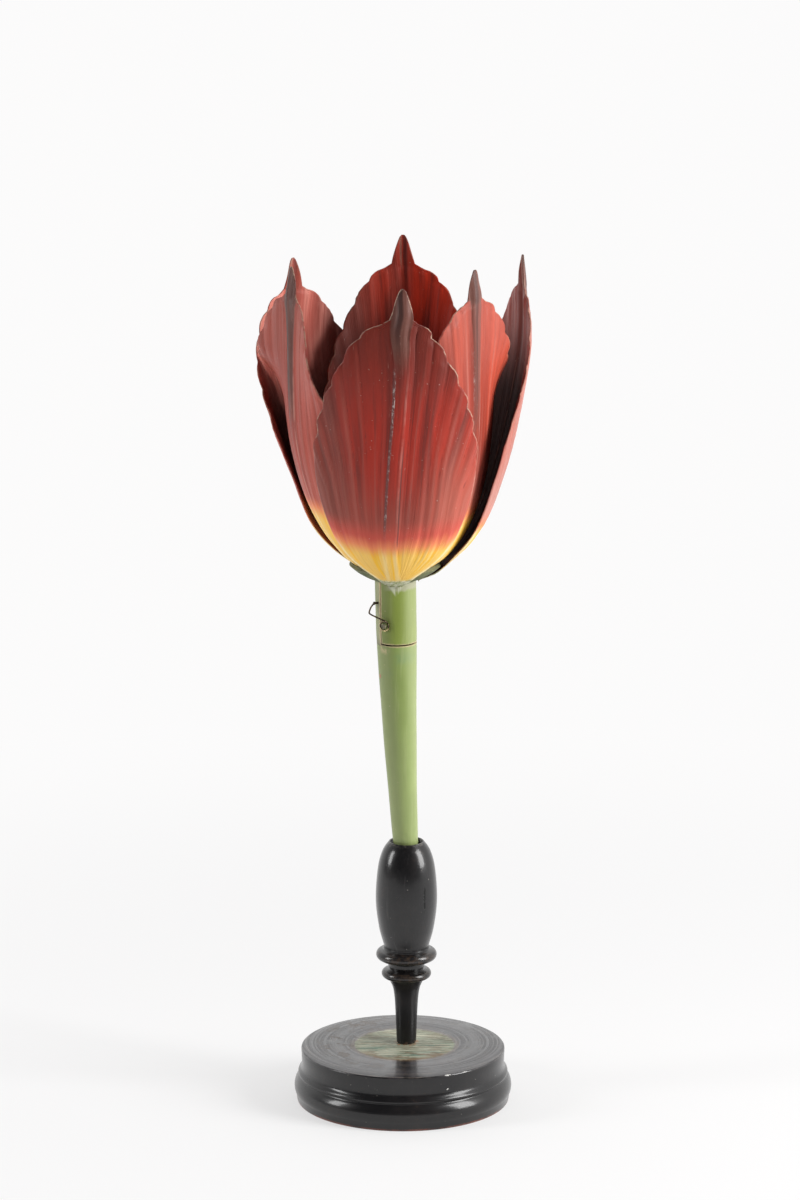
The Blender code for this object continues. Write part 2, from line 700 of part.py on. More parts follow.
def tepal_point(line, tepal, share, across):
    """A point of a tepal's middle surface, from foot to tip and from edge to edge."""
    radius = value_at([(p[0], p[1]) for p in line], share) + tepal.push * ease(*PUSH_SHARES, share)
    radius += tepal.tip_push * ease(*TIP_PUSH_SHARES, share)
    height = value_at([(p[0], p[2]) for p in line], share)
    height *= 1.0 + (tepal.size - 1.0) * ease(*PUSH_SHARES, share)
    sway = tepal.sway * math.sin(math.pi * min(1.0, share / SWAY_END))
    side = across * half_width(share) + sway * (1.0 - across ** 2)
    half = tepal.high_half if across > 0.0 else tepal.low_half
    top = ease(half.start, half.end, share)
    curl = (1.0 + (tepal.bend - 1.0) * ease(*BEND_SHARES, share)) * (1.0 - top) + half.bend * top
    curl /= radius
    sideways = math.sin(side * curl) / curl
    inward = (1.0 - math.cos(side * curl)) / curl
    keel = KEEL_HEIGHT * (0.25 + 0.75 * share ** 2) * ease(*KEEL_SHARES, share)
    keel *= max(0.0, 1.0 - abs(side - sway) / KEEL_HALF_WIDTH)
    turn = math.radians(tepal.twist) * top
    outward = -inward * math.cos(turn) - sideways * math.sin(turn)
    sideways = -inward * math.sin(turn) + sideways * math.cos(turn)
    sideways += tepal.lean * ease(*LEAN_SHARES, share) + tepal.tip_lean * ease(*TIP_LEAN_SHARES, share)
    out = facing(math.radians(tepal.azimuth))
    along = facing(math.radians(tepal.azimuth + 90))
    centre = Vector((FLOWER_X, FLOWER_Y, STEM_TOP_HEIGHT + height))
    return centre + out * (radius + keel + outward) + along * sideways


def make_tepal(name, material):
    tepal = TEPALS[name]
    line = with_lengths(whorl_line(tepal.whorl))
    shares = [WIDEST_SHARE * (row / ROWS_BELOW) ** 1.5 for row in range(ROWS_BELOW)]
    shares += [WIDEST_SHARE + (1.0 - WIDEST_SHARE) * row / ROWS_ABOVE for row in range(ROWS_ABOVE + 1)]
    middle = [[tepal_point(line, tepal, share, across) for across in COLUMNS] for share in shares]
    rows, columns = len(middle), len(COLUMNS)
    mesh_data = bmesh.new()
    sheets = []
    for side in (0.5, -0.5):
        sheet = []
        for row in range(rows):
            made = []
            for column in range(columns):
                up = middle[min(row + 1, rows - 1)][column] - middle[max(row - 1, 0)][column]
                over = middle[row][min(column + 1, columns - 1)] - middle[row][max(column - 1, 0)]
                normal = over.cross(up).normalized()
                edge = EDGE_THINNING if abs(COLUMNS[column]) == 1.0 else 1.0
                edge *= FOOT_THINNING + (1.0 - FOOT_THINNING) * ease(0.0, FOOT_END, shares[row])
                place = middle[row][column] + normal * (side * edge * TEPAL_THICKNESS)
                made.append(mesh_data.verts.new(place))
            sheet.append(made)
        sheets.append(sheet)
    for sheet in sheets:
        for row in range(rows - 1):
            for column in range(columns - 1):
                mesh_data.faces.new((sheet[row][column], sheet[row][column + 1],
                                     sheet[row + 1][column + 1], sheet[row + 1][column]))
    outside, inside = sheets
    rim = [(row, 0) for row in range(rows)] + [(rows - 1, column) for column in range(1, columns)]
    rim += [(row, columns - 1) for row in range(rows - 2, -1, -1)]
    rim += [(0, column) for column in range(columns - 2, 0, -1)]
    for (row, column), (next_row, next_column) in zip(rim, rim[1:] + rim[:1]):
        mesh_data.faces.new((outside[row][column], outside[next_row][next_column],
                             inside[next_row][next_column], inside[row][column]))
    return add_object(name, mesh_data, material, 60)


# Stamens and pistil


def make_stamens(filament_material, anther_material):
    floor = STEM_TOP_HEIGHT + GAP + dish_floor() + GAP
    azimuths = sorted(tepal.azimuth for tepal in TEPALS.values())
    for number, azimuth in enumerate(azimuths, start=1):
        out = facing(math.radians(azimuth))
        along = facing(math.radians(azimuth + 90))
        foot = Vector((FLOWER_X, FLOWER_Y, floor)) + out * STAMEN_CIRCLE
        lean = math.tan(STAMEN_LEAN) * FILAMENT_LENGTH
        rings = []
        for share in FILAMENT_LEVELS:
            radius = FILAMENT_FOOT_RADIUS + (FILAMENT_TOP_RADIUS - FILAMENT_FOOT_RADIUS) * share
            centre = foot + out * (lean * share ** 1.5) + Vector((0, 0, FILAMENT_LENGTH * share))
            angles = [math.tau * step / FILAMENT_STEPS for step in range(FILAMENT_STEPS)]
            rings.append([centre + radius * facing(angle) for angle in angles])
        add_object(f"filament_{number}", skin_rings(rings), filament_material)
        start = foot + out * lean + Vector((0, 0, FILAMENT_LENGTH + GAP))
        rings = []
        for share, size in ANTHER_LEVELS:
            centre = start + out * (ANTHER_LEAN * share) + Vector((0, 0, ANTHER_LENGTH * share))
            ring = []
            for step in range(ANTHER_STEPS):
                angle = math.tau * step / ANTHER_STEPS
                wide = ANTHER_RADIUS * size * (1.0 - ANTHER_GROOVE * math.cos(2 * angle) ** 2)
                across = along * math.cos(angle) + out * (ANTHER_FLATNESS * math.sin(angle))
                ring.append(centre + wide * across)
            rings.append(ring)
        add_object(f"anther_{number}", skin_rings(rings), anther_material)


def three_sided(angle, depth):
    """The pistil's section: three rounded ribs with hollows between them."""
    return 1.0 - depth * (1.0 - math.cos(3 * (angle - math.radians(30)))) * 0.5


def pistil_rings(radius, length, levels, hollow, foot):
    rings = []
    for share, size in levels:
        ring = []
        for step in range(PISTIL_STEPS):
            angle = math.tau * step / PISTIL_STEPS
            reach = radius * size * three_sided(angle, hollow)
            ring.append(Vector((FLOWER_X, FLOWER_Y, foot + length * share)) + reach * facing(angle))
        rings.append(ring)
    return rings


def make_pistil(green, pale):
    floor = STEM_TOP_HEIGHT + GAP + dish_floor() + GAP
    ovary = pistil_rings(OVARY_RADIUS, OVARY_LENGTH, OVARY_LEVELS, OVARY_HOLLOW, floor)
    add_object("ovary", skin_rings(ovary), green)
    foot = floor + OVARY_LENGTH + GAP
    stigma = pistil_rings(STIGMA_RADIUS, STIGMA_HEIGHT, STIGMA_LEVELS, STIGMA_HOLLOW, foot)
    add_object("stigma", skin_rings(stigma), pale)


def main():
    clear_scene()
    black = make_material("black_wood", (0.012, 0.011, 0.011), 0.35)
    wood = make_material("plain_wood", (0.42, 0.27, 0.13), 0.6)
    green = make_material("painted_green", (0.22, 0.33, 0.07), 0.45)
    red = make_material("painted_red", (0.33, 0.045, 0.03), 0.42)
    cream = make_material("painted_cream", (0.70, 0.62, 0.30), 0.5)
    dark = make_material("painted_dark", (0.035, 0.022, 0.03), 0.55)
    metal = make_material("old_wire", (0.20, 0.15, 0.09), 0.4, 1.0)

    make_base(black)
    make_post(black)
    stem = make_stem(green, wood)
    front_half = make_front_half(green)
    make_pegs(stem, front_half, wood)
    make_latch(stem, front_half, metal)
    make_receptacle(green)
    for name in TEPALS:
        make_tepal(name, red)
    make_stamens(cream, dark)
    make_pistil(green, cream)


main()
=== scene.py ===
"""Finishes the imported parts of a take-apart botanical tulip model and sets them on a plain pale floor.

Metres, +Z up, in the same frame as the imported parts. The file is laid out as an add-on and run as a script:
each operator makes one piece or one group of like pieces, and the stage operator adds floor, light and camera.
"""

import math
from collections import namedtuple

import bmesh
import bpy
import numpy as np
from bpy.props import FloatProperty, FloatVectorProperty, IntProperty, PointerProperty
from mathutils import Matrix, Vector


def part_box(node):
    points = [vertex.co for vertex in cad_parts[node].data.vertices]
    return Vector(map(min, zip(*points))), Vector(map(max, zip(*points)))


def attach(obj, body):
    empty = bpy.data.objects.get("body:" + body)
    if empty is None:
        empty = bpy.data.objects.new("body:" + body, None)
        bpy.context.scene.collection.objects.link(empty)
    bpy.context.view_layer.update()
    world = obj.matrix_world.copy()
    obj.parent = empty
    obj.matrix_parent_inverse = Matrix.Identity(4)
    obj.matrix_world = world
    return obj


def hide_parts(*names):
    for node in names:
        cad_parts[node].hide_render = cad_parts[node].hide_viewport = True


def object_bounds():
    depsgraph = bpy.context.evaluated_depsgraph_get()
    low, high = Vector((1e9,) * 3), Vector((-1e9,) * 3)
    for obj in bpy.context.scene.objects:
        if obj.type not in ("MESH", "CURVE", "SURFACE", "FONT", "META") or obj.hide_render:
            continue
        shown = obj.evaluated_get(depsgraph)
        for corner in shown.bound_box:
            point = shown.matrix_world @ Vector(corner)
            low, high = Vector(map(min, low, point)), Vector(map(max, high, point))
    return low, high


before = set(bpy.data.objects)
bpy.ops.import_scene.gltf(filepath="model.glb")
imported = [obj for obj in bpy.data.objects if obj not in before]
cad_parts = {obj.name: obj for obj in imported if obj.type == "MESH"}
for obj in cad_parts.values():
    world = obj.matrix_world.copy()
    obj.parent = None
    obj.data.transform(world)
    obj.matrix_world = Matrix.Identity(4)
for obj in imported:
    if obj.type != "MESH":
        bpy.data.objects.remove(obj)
CAD_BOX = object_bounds()

bl_info = {
    "name": "Botanical tulip model",
    "version": (1, 0, 0),
    "blender": (4, 5, 0),
    "location": "3D View > Sidebar > Tulip",
    "description": "Adds the painted pieces of a take-apart botanical tulip model, part by part",
    "category": "Object",
}

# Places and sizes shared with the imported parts
GAP = 0.0003
BASE_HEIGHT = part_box("base")[1].z
POST_X = 0.0020
POST_Y = 0.0070
POST_HEIGHT = 0.1526
SOCKET_RADIUS = 0.0090
SOCKET_DEPTH = 0.0120
DOWEL_BORE_RADIUS = 0.0043
DOWEL_BORE_DEPTH = 0.0303
STEM_FOOT = Vector((0.0022, 0.0070, POST_HEIGHT - SOCKET_DEPTH + GAP))
STEM_FOOT_RADIUS = 0.0069
STEM_RADIUS = 0.0118
STEM_TOP = 0.3080
STEM_SWELL_HEIGHT = 0.2780
STEM_BEND = 0.60
FLOWER = Vector((-0.0043, 0.0050, 0.0))
CUT_HEIGHT = 0.2712
CUT_GAP = 0.0008
SEAM_GAP = 0.0004
SEAM_FACING = math.radians(311)
BLOCK_REACH = 0.06
OVERSHOOT = 0.01
SURFACE_UNEVENNESS = 0.00010
SOFT_EDGE = 0.00025
SHARP_ANGLE = math.radians(50)
MERGE_DISTANCE = 0.00002
# Below these angles between faces, in degrees, a piece is shaded smooth
TURNED_SMOOTH = 40
STEM_SMOOTH = 35
SMALL_SMOOTH = 60
PETAL_SMOOTH = 75
# How finely the pieces are divided
STEM_SIDES = 96
STEM_LEVELS = 90
NOTCH_STEPS = 32
DISH_SIDES = 96
WIRE_SIDES = 16
NAIL_SIDES = 32
FILAMENT_SIDES = 20
FILAMENT_LEVELS = 16
ANTHER_SIDES = 40
PISTIL_SIDES = 96

# Turned base, from the table up: (radius, height) where a list gives points
BASE_FOOT_RADIUS = 0.0612
BASE_EDGE = 0.0008
BEAD_RADIUS = 0.0627
BEAD_HEIGHT = 0.0086
BEAD_BULGE = 0.0077
BASE_CREASE = [(0.05995, 0.01530), (0.0599, 0.0156), (0.0600, 0.0159)]
FILLET_CENTRE = (0.0592, 0.0169)
FILLET_RADIUS = 0.0013
BASE_COVE = [
    (0.0597, 0.0184), (0.0592, 0.0189), (0.0588, 0.0196), (0.0586, 0.0205), (0.0584, 0.0218),
    (0.0585, 0.0250),
]
SLAB_RADIUS = 0.0587
BASE_TOP_RADII = [0.045, 0.0300, 0.0285, 0.0]

# Turned post, from the base up
Ring = namedtuple("Ring", "radius height inner thickness")
POST_FOOT_RADIUS = 0.0052
NECK_RADIUS = 0.0056
NECK_TAPER = 0.0013
NECK_FLARE = 0.0008
NECK_TOP = 0.0645
NECK_STEPS = 16
UNDER_RINGS = [(0.0082, 0.0662), (0.0092, 0.0682)]
LOWER_RING = Ring(0.0143, 0.0734, 0.0098, 0.0048)
BETWEEN_RINGS = [(0.0100, 0.0771), (0.0105, 0.0779), (0.0106, 0.0790), (0.0106, 0.0801), (0.0110, 0.0810)]
UPPER_RING = Ring(0.0175, 0.0849, 0.0130, 0.0058)
BULB_FOOT_RADIUS = 0.0130
BULB_FOOT = 0.0905
BULB_RADIUS = 0.0177
BULB_HEIGHT = 0.1180
POST_RIM_RADIUS = 0.0100
# Where a ring meets the post: (radius past its inner one, share of half its thickness)
RING_ROOT = [(0.0, 1.15), (0.0002, 1.08)]
# The bulb's swelling and narrowing as (share of the radius gained or still to lose, share of the height)
BULB_SWELLING = (0.61, 0.4)
BULB_NARROWING = [(0.84, 0.54), (0.48, 0.84)]
BULB_FOOT_DEPTH = 0.0013

# Wire hook and its two nails
WIRE_RADIUS = 0.00045
WIRE_END_LENGTH = 0.45
WIRE_END_WIDTH = 0.55
HOOK_RING_RADIUS = 0.0027
RING_START = -268
RING_END = 50
RING_STEPS = 40
LATCH_FACING = math.radians(238.5)
LATCH_HEIGHT = 0.2831
PIN_RADIUS = 0.0009
PIN_HEAD_RADIUS = 0.0015
PIN_DEPTH = 0.0045
NAIL_HEAD_THICKNESS = 0.0006
HOOK_STANDOFF = 0.0005
CATCH_FACING = math.radians(210)
CATCH_HEIGHT = 0.2956
CATCH_RADIUS = 0.0007
CATCH_HEAD_RADIUS = 0.0010
CATCH_REACH = 0.0022
# The hook above its ring as (left, up, out), and from its bow to its end as (share of the way, up, out)
HOOK_NECK = [(-0.0006, 0.0036, 0.0016), (0.0042, 0.0056, 0.0030)]
HOOK_BOW = [
    (0.0, -0.0004, -0.0004), (0.0, 0.0008, 0.0), (0.33, 0.0011, 0.0002), (0.68, 0.0007, 0.0), (1.0, 0.0, 0.0),
]
BOW_FACING = math.radians(207)
BOW_RISE = 0.0068
BOW_REACH = 0.0052
HOOK_END_FACING = math.radians(201)
HOOK_END_REACH = 0.0006

# Receptacle
DISH_OUTSIDE = [(0.0118, 0.0), (0.0165, 0.0018), (0.0222, 0.0052), (0.0262, 0.0086)]
DISH_THICKNESS = 0.0020
DISH_FLOOR_RADIUS = 0.0135
PISTIL_SEAT_RADIUS = 0.0080

# Petals
TEPAL_CLEARANCE = 0.0005
TEPAL_THICKNESS = 0.0020
CLAW_LENGTH = 0.0012
CLAW_FLARE = 0.0004
OUTER_PROFILE = [
    (0.0345, 0.0150), (0.0420, 0.0230), (0.0475, 0.0305), (0.0515, 0.0380), (0.0555, 0.0480),
    (0.0595, 0.0600), (0.0640, 0.0750), (0.0680, 0.0920), (0.0715, 0.1100), (0.0745, 0.1300),
    (0.0755, 0.1480), (0.0750, 0.1660), (0.0735, 0.1828),
]
INNER_PROFILE = [
    (0.0300, 0.0165), (0.0370, 0.0255), (0.0430, 0.0360), (0.0480, 0.0480), (0.0525, 0.0640),
    (0.0560, 0.0820), (0.0590, 0.1030), (0.0610, 0.1260), (0.0620, 0.1480), (0.0615, 0.1680),
    (0.0590, 0.1870),
]
OUTLINE = [
    (0.000, 0.0040), (0.030, 0.0055), (0.080, 0.0112), (0.140, 0.0230), (0.217, 0.0335),
    (0.300, 0.0415), (0.400, 0.0478), (0.500, 0.0500), (0.570, 0.0478), (0.640, 0.0440),
    (0.700, 0.0395), (0.750, 0.0345), (0.790, 0.0305), (0.825, 0.0265), (0.855, 0.0225),
    (0.885, 0.0168), (0.900, 0.0118), (0.912, 0.0062),
]
CUSP_START = 0.912
CUSP_HALF_WIDTH = 0.0066
CUSP_ROUNDING = 0.72
CUSP_TIP_HALF_WIDTH = 0.0008
WIDEST_SHARE = 0.50
FAN_SPREAD = 0.65
SCALLOPS = 7
SCALLOP_DEPTH = 0.0018
SCALLOP_VARIATION = 0.35
EDGE_ROUGHNESS = 0.00026
KEEL_HEIGHT = 0.0022
KEEL_HALF_WIDTH = 0.0070
PUSH_SHARES = (0.1, 0.5)
TIP_PUSH_SHARES = (0.5, 1.0)
LEAN_SHARES = (0.35, 0.85)
TIP_LEAN_SHARES = (0.85, 0.94)
BEND_SHARES = (0.1, 0.4)
KEEL_SHARES = (0.12, 0.3)
SWAY_END = 0.8

Petal = namedtuple(
    "Petal",
    "node body whorl azimuth size push tip_push lean tip_lean twist sway bend low_half high_half seed",
)
Half = namedtuple("Half", "bend start end")
PETALS = {
    "petal_front": Petal(
        "tepal_front", "flower_front", "outer", 270, 1.0, 0.0, 0.0, 0.0, 0.004, 0, -0.0018, 1.0,
        Half(0.6, 0.55, 0.92), Half(0.6, 0.55, 0.92), 3),
    "petal_right_back": Petal(
        "tepal_right_back", "flower_front", "outer", 18, 1.0, 0.0, 0.0, 0.0, 0.0, -4, 0.0, 0.9,
        Half(0.5, 0.55, 0.92), Half(0.15, 0.55, 0.92), 5),
    "petal_left_back": Petal(
        "tepal_left_back", "flower_fixed", "outer", 132, 0.965, 0.003, -0.005, 0.013, -0.001, 0, 0.0, 1.25,
        Half(0.7, 0.55, 0.92), Half(0.85, 0.55, 0.92), 8),
    "petal_right_front": Petal(
        "tepal_right_front", "flower_front", "inner", 325, 1.0, -0.002, 0.001, -0.0105, 0.0015, 0, 0.0, 1.0,
        Half(0.7, 0.57, 0.82), Half(-0.2, 0.57, 0.82), 13),
    "petal_back": Petal(
        "tepal_back", "flower_fixed", "inner", 86, 1.0, 0.0, 0.0, -0.001, 0.001, 0, 0.0, 1.0,
        Half(0.8, 0.55, 0.92), Half(0.8, 0.55, 0.92), 21),
    "petal_left_front": Petal(
        "tepal_left_front", "flower_fixed", "inner", 198, 0.985, 0.0025, -0.0027, 0.0, 0.0, 9, 0.0, 1.1,
        Half(-0.2, 0.56, 0.75), Half(-0.6, 0.48, 0.78), 34),
}
PETAL_ROWS_BELOW = 44
PETAL_ROWS_ABOVE = 100
PETAL_COLUMNS = 96
ROW_CROWDING = 1.4
COLUMN_CROWDING = 0.25
RIM_ROUNDING = 0.0003
# Half width of the midrib along the petal, and of the fan of veins past its widest place
MIDRIB = [(0.0, 0.0030), (0.70, 0.0031), (0.80, 0.0038), (0.88, 0.0056), (0.912, 0.0066), (1.0, 0.0066)]
FAN = [
    (0.0, 0.0040), (0.08, 0.0112), (0.14, 0.0230), (0.217, 0.0335), (0.30, 0.0415), (0.40, 0.0478),
    (0.50, 0.0521), (0.60, 0.0565), (0.80, 0.0695), (1.00, 0.0825), (1.30, 0.1020),
]
FAN_BEND = 116.0
# How far the midrib wanders from the petal's middle, and how much wider it is, by CAD node
RIB_SHIFTS = {
    "tepal_front": [
        (0.0, 0.0), (0.10, -0.0006), (0.22, -0.0018), (0.30, -0.0010), (0.46, 0.0007), (0.617, 0.0026),
        (0.70, 0.0032), (0.77, 0.0035), (0.85, 0.0028), (0.90, 0.0010), (1.0, 0.0),
    ],
    "tepal_left_front": [
        (0.0, 0.0), (0.45, 0.0012), (0.60, 0.0040), (0.75, 0.0052), (0.85, 0.0036), (0.912, 0.0006), (1.0, 0.0),
    ],
}
NO_SHIFT = [(0.0, 0.0), (1.0, 0.0)]
RIB_WIDTHS = {"tepal_left_front": 1.35, "tepal_right_front": 0.75}
VEINS_FOLLOW = 0.020
FLAT_CURL = 1e-4
STEEPEST_EDGE = 2.5
# Raised veins: place of the first and last in the fan, and the gaps between them. The lowest and highest
# strength, start and end along the petal, and width of one are drawn in that order
FIRST_VEIN = 0.11
LAST_VEIN = 1.45
VEIN_GAPS = (0.085, 0.165)
LEAST_VEIN = (0.35, 0.05, 0.60, 0.75)
MOST_VEIN = (1.0, 0.16, 1.05, 1.45)
VEIN_SHARPNESS = 60.0
# How far the creases and the veins wander sideways in the fan
VEIN_WANDER = 0.012
# Thickness of a petal away from its edge, how far from the edge it thins, how far in the scallops' creases
# reach, and the line beside the midrib
PETAL_THICKNESS = 0.0019
RIM_WIDTH = 0.0055
CREASE_REACH = 0.018
RIB_LINE_DEPTH = 0.00032

# Stamens and pistil
STAMEN_BODIES = [
    "flower_front", "flower_fixed", "flower_fixed", "flower_fixed", "flower_front", "flower_front",
]
STAMEN_CIRCLE = 0.0115
FILAMENT_FOOT_RADIUS = 0.0017
FILAMENT_TOP_RADIUS = 0.0010
FILAMENT_LENGTH = 0.0340
STAMEN_LEAN = math.radians(7)
ANTHER_RADIUS = 0.0032
ANTHER_LENGTH = 0.0300
ANTHER_LEAN = 0.0022
ANTHER_FLATNESS = 0.80
OVARY_RADIUS = 0.0068
OVARY_LENGTH = 0.0560
OVARY_HOLLOW = 0.22
STIGMA_RADIUS = 0.0105
STIGMA_HEIGHT = 0.0100
STIGMA_HOLLOW = 0.45
STIGMA_CRINKLE = 0.02
STIGMA_CRINKLES = 21
PISTIL_FACING = math.radians(30)
# Shapes along the length as (share of the length, share of the radius)
ANTHER_LEVELS = [(0.0, 0.5), (0.08, 0.72), (0.3, 0.98), (0.6, 1.0), (0.86, 0.8), (1.0, 0.45)]
OVARY_LEVELS = [(0.0, 0.78), (0.06, 0.9), (0.25, 1.0), (0.6, 0.97), (0.88, 0.82), (1.0, 0.7)]
STIGMA_LEVELS = [(0.0, 0.45), (0.25, 0.72), (0.6, 0.97), (0.85, 0.96), (1.0, 0.72)]

# The pale disc on top of the base, a little off the post
DISC_CENTRE = (0.0010, 0.0024)
DISC_RADIUS = 0.0290

# Studio: what the camera sees as white paper, and how much of that shows in the floor near the model
PAPER_WHITE = (0.97, 0.965, 0.965)
FLOOR_LIFT = 0.60
FLOOR_CLOUD = (0.93, 0.93, 0.93)
# The room that lights the model: dark in front, white behind, and in part white at the right
ROOM_DARK = (0.085, 0.085, 0.093)
SWEEP_WHITE = (0.95, 0.95, 0.95)
RIGHT_SIDE_SHARE = 0.60
Softbox = namedtuple("Softbox", "azimuth elevation distance width height power")
SOFTBOXES = {
    "right_softbox": Softbox(340, 21, 1.8, 0.72, 1.30, 35.0),
    "left_softbox": Softbox(192, 18, 1.8, 0.44, 0.95, 14.0),
}
SOFTBOX_AIM = (0.0, 0.0, 0.26)
# The camera, fitted to the rings of the stand; its tilt is down, in degrees
CAMERA_X = -0.0017
CAMERA_HEIGHT = 1.182
CAMERA_TILT = 14.190
CAMERA_LENS = 127.2076
CAMERA_SENSOR = 24.0
CAMERA_REACH = 60.0


class TulipSizes(bpy.types.PropertyGroup):
    groove_depth: FloatProperty(
        name="Groove depth", description="Depth of the grooves between a petal's veins at its edge",
        default=0.0009, min=0.0, max=0.0015, precision=5, unit="LENGTH")
    vein_height: FloatProperty(
        name="Vein height", description="Height of the raised veins on a petal",
        default=0.00042, min=0.0, max=0.0006, precision=5, unit="LENGTH")
    panel_height: FloatProperty(
        name="Panel height", description="How far the panels between a petal's veins swell",
        default=0.00038, min=0.0, max=0.0006, precision=5, unit="LENGTH")
    rim_thickness: FloatProperty(
        name="Rim thickness", description="Thickness of a petal at its edge",
        default=0.0009, min=0.0004, max=0.0014, precision=5, unit="LENGTH")
    turning_steps: IntProperty(
        name="Turning steps", description="Number of sides of the turned pieces", default=160, min=32, max=256)
    floor_size: FloatProperty(
        name="Floor size", description="Width of the pale floor", default=2.4, min=1.6, max=30.0, unit="LENGTH")
    camera_distance: FloatProperty(
        name="Camera distance", description="How far the camera stands in front of the model",
        default=3.5, min=2.0, max=6.0, unit="LENGTH")


class TulipColours(bpy.types.PropertyGroup):
    petals: FloatVectorProperty(
        name="Petals", description="Multiplies the reds of the petals; white leaves them as they are",
        subtype="COLOR", size=3, default=(1.0, 1.0, 1.0))
    yellow: FloatVectorProperty(
        name="Yellow", description="Yellow at the petals' feet", subtype="COLOR", size=3,
        default=(0.94, 0.57, 0.11))
    midrib: FloatVectorProperty(
        name="Midrib", description="Grey brown of the midribs and tips", subtype="COLOR", size=3,
        default=(0.165, 0.069, 0.051))
    bare_edge: FloatVectorProperty(
        name="Bare edge", description="Chipped edges where the moulded paper shows", subtype="COLOR", size=3,
        default=(0.54, 0.37, 0.27))
    green: FloatVectorProperty(
        name="Green", description="Olive green of stem and receptacle", subtype="COLOR", size=3,
        default=(0.245, 0.322, 0.085))
    black: FloatVectorProperty(
        name="Black", description="Black stain and varnish of the stand", subtype="COLOR", size=3,
        default=(0.0065, 0.0060, 0.0065))
    sage: FloatVectorProperty(
        name="Sage", description="Pale green disc on top of the base", subtype="COLOR", size=3,
        default=(0.30, 0.33, 0.24))
    wire: FloatVectorProperty(
        name="Wire", description="Old brass of hook and nails", subtype="COLOR", size=3,
        default=(0.62, 0.50, 0.26))
    cream: FloatVectorProperty(
        name="Cream", description="Cream of filaments and stigma", subtype="COLOR", size=3,
        default=(0.72, 0.62, 0.30))
    anther: FloatVectorProperty(
        name="Anther", description="Purple black of the anthers", subtype="COLOR", size=3,
        default=(0.030, 0.018, 0.028))
    wood: FloatVectorProperty(
        name="Wood", description="Plain wood of dowel and pegs", subtype="COLOR", size=3,
        default=(0.45, 0.29, 0.14))
    floor: FloatVectorProperty(
        name="Floor", description="Pale floor", subtype="COLOR", size=3, default=(0.90, 0.90, 0.90))


def sizes():
    return bpy.context.scene.tulip_sizes


def colours():
    return bpy.context.scene.tulip_colours


# Materials


class Field:
    """A number, colour or place that varies over a surface; sums and products of fields add math nodes."""

    def __init__(self, tree, socket):
        self.tree = tree
        self.socket = socket

    def __add__(self, other):
        return calc("ADD", self, other)

    def __mul__(self, other):
        return calc("MULTIPLY", self, other)

    def __sub__(self, other):
        return calc("SUBTRACT", self, other)

    def __rsub__(self, other):
        return calc("SUBTRACT", other, self)

    __radd__ = __add__


def add_node(kind, values=None, output=0, tree=None, **settings):
    """Adds a node to the tree that its inputs come from, and returns what it gives as a field."""
    values = values or {}
    tree = tree or next(value.tree for value in values.values() if isinstance(value, Field))
    node = tree.nodes.new(kind)
    for key, value in settings.items():
        setattr(node, key, value)
    for key, value in values.items():
        if isinstance(value, Field):
            tree.links.new(value.socket, node.inputs[key])
        else:
            node.inputs[key].default_value = value
    return Field(tree, node.outputs[output])


def calc(operation, first, second=0.0):
    return add_node("ShaderNodeMath", {0: first, 1: second}, operation=operation)


def size_of(value):
    return calc("ABSOLUTE", value)


def larger(first, second):
    return calc("MAXIMUM", first, second)


def rise(value, low, high):
    """0 at low and 1 at high with a smooth step between; low may be the larger."""
    limits = {"Value": value, "From Min": low, "From Max": high}
    return add_node("ShaderNodeMapRange", limits, interpolation_type="SMOOTHSTEP")


def band(value, middle, half, soft):
    """1 within half of the middle, falling to 0 over soft."""
    return rise(size_of(value - middle), half + soft, half)


def distance(first, second):
    return add_node("ShaderNodeVectorMath", {0: first, 1: second}, "Value", operation="DISTANCE")


def reach_from(x, y, centre):
    """Distance from an upright axis."""
    return distance(add_node("ShaderNodeCombineXYZ", {0: x, 1: y}), (*centre, 0.0))


def spot(where, point, radius, soft=0.5):
    """1 inside a small round mark about a point."""
    return rise(distance(where, point), radius * (1.0 + soft), radius * (1.0 - soft))


def split(vector):
    """The three numbers of a vector."""
    first = add_node("ShaderNodeSeparateXYZ", {0: vector})
    return [Field(vector.tree, socket) for socket in first.socket.node.outputs]


def noise(where, scale, detail=3.0, roughness=0.55, distortion=0.0):
    """Soft noise from 0 to 1; the scale is one number, or one for each axis."""
    if isinstance(scale, tuple):
        where = add_node("ShaderNodeMapping", {"Vector": where, "Scale": scale})
        scale = 1.0
    values = {"Vector": where, "Scale": scale, "Detail": detail, "Roughness": roughness}
    return add_node("ShaderNodeTexNoise", {**values, "Distortion": distortion})


def as_colour(value):
    return value if isinstance(value, Field) else (*tuple(value)[:3], 1.0)


def paint(under, over, amount):
    """Lays the colour over on the colour under where the amount is 1."""
    values = {0: amount, 6: as_colour(under), 7: as_colour(over)}
    return add_node("ShaderNodeMix", values, 2, data_type="RGBA")


def between(first, second, share):
    """The plain colour that lies the given share of the way from the first to the second."""
    return tuple(a + (b - a) * share for a, b in zip(first, second))


def shade(colour, factor):
    """Multiplies a colour by a number."""
    return add_node("ShaderNodeVectorMath", {0: colour, "Scale": factor}, operation="SCALE")


def new_material(name, specular=0.5, roughness=0.5, coat=0.0, coat_roughness=0.3, metallic=0.0):
    """A material with its shader's plain numbers set, its shader, and the place on the piece in metres."""
    material = bpy.data.materials.new(name)
    material.use_nodes = True
    shader = material.node_tree.nodes["Principled BSDF"]
    numbers = {
        "Specular IOR Level": specular, "Roughness": roughness, "Coat Weight": coat,
        "Coat Roughness": coat_roughness, "Metallic": metallic,
    }
    for socket, number in numbers.items():
        shader.inputs[socket].default_value = number
    return material, shader, add_node("ShaderNodeTexCoord", output="Object", tree=material.node_tree)


def give(shader, socket, field):
    field.tree.links.new(field.socket, shader.inputs[socket])


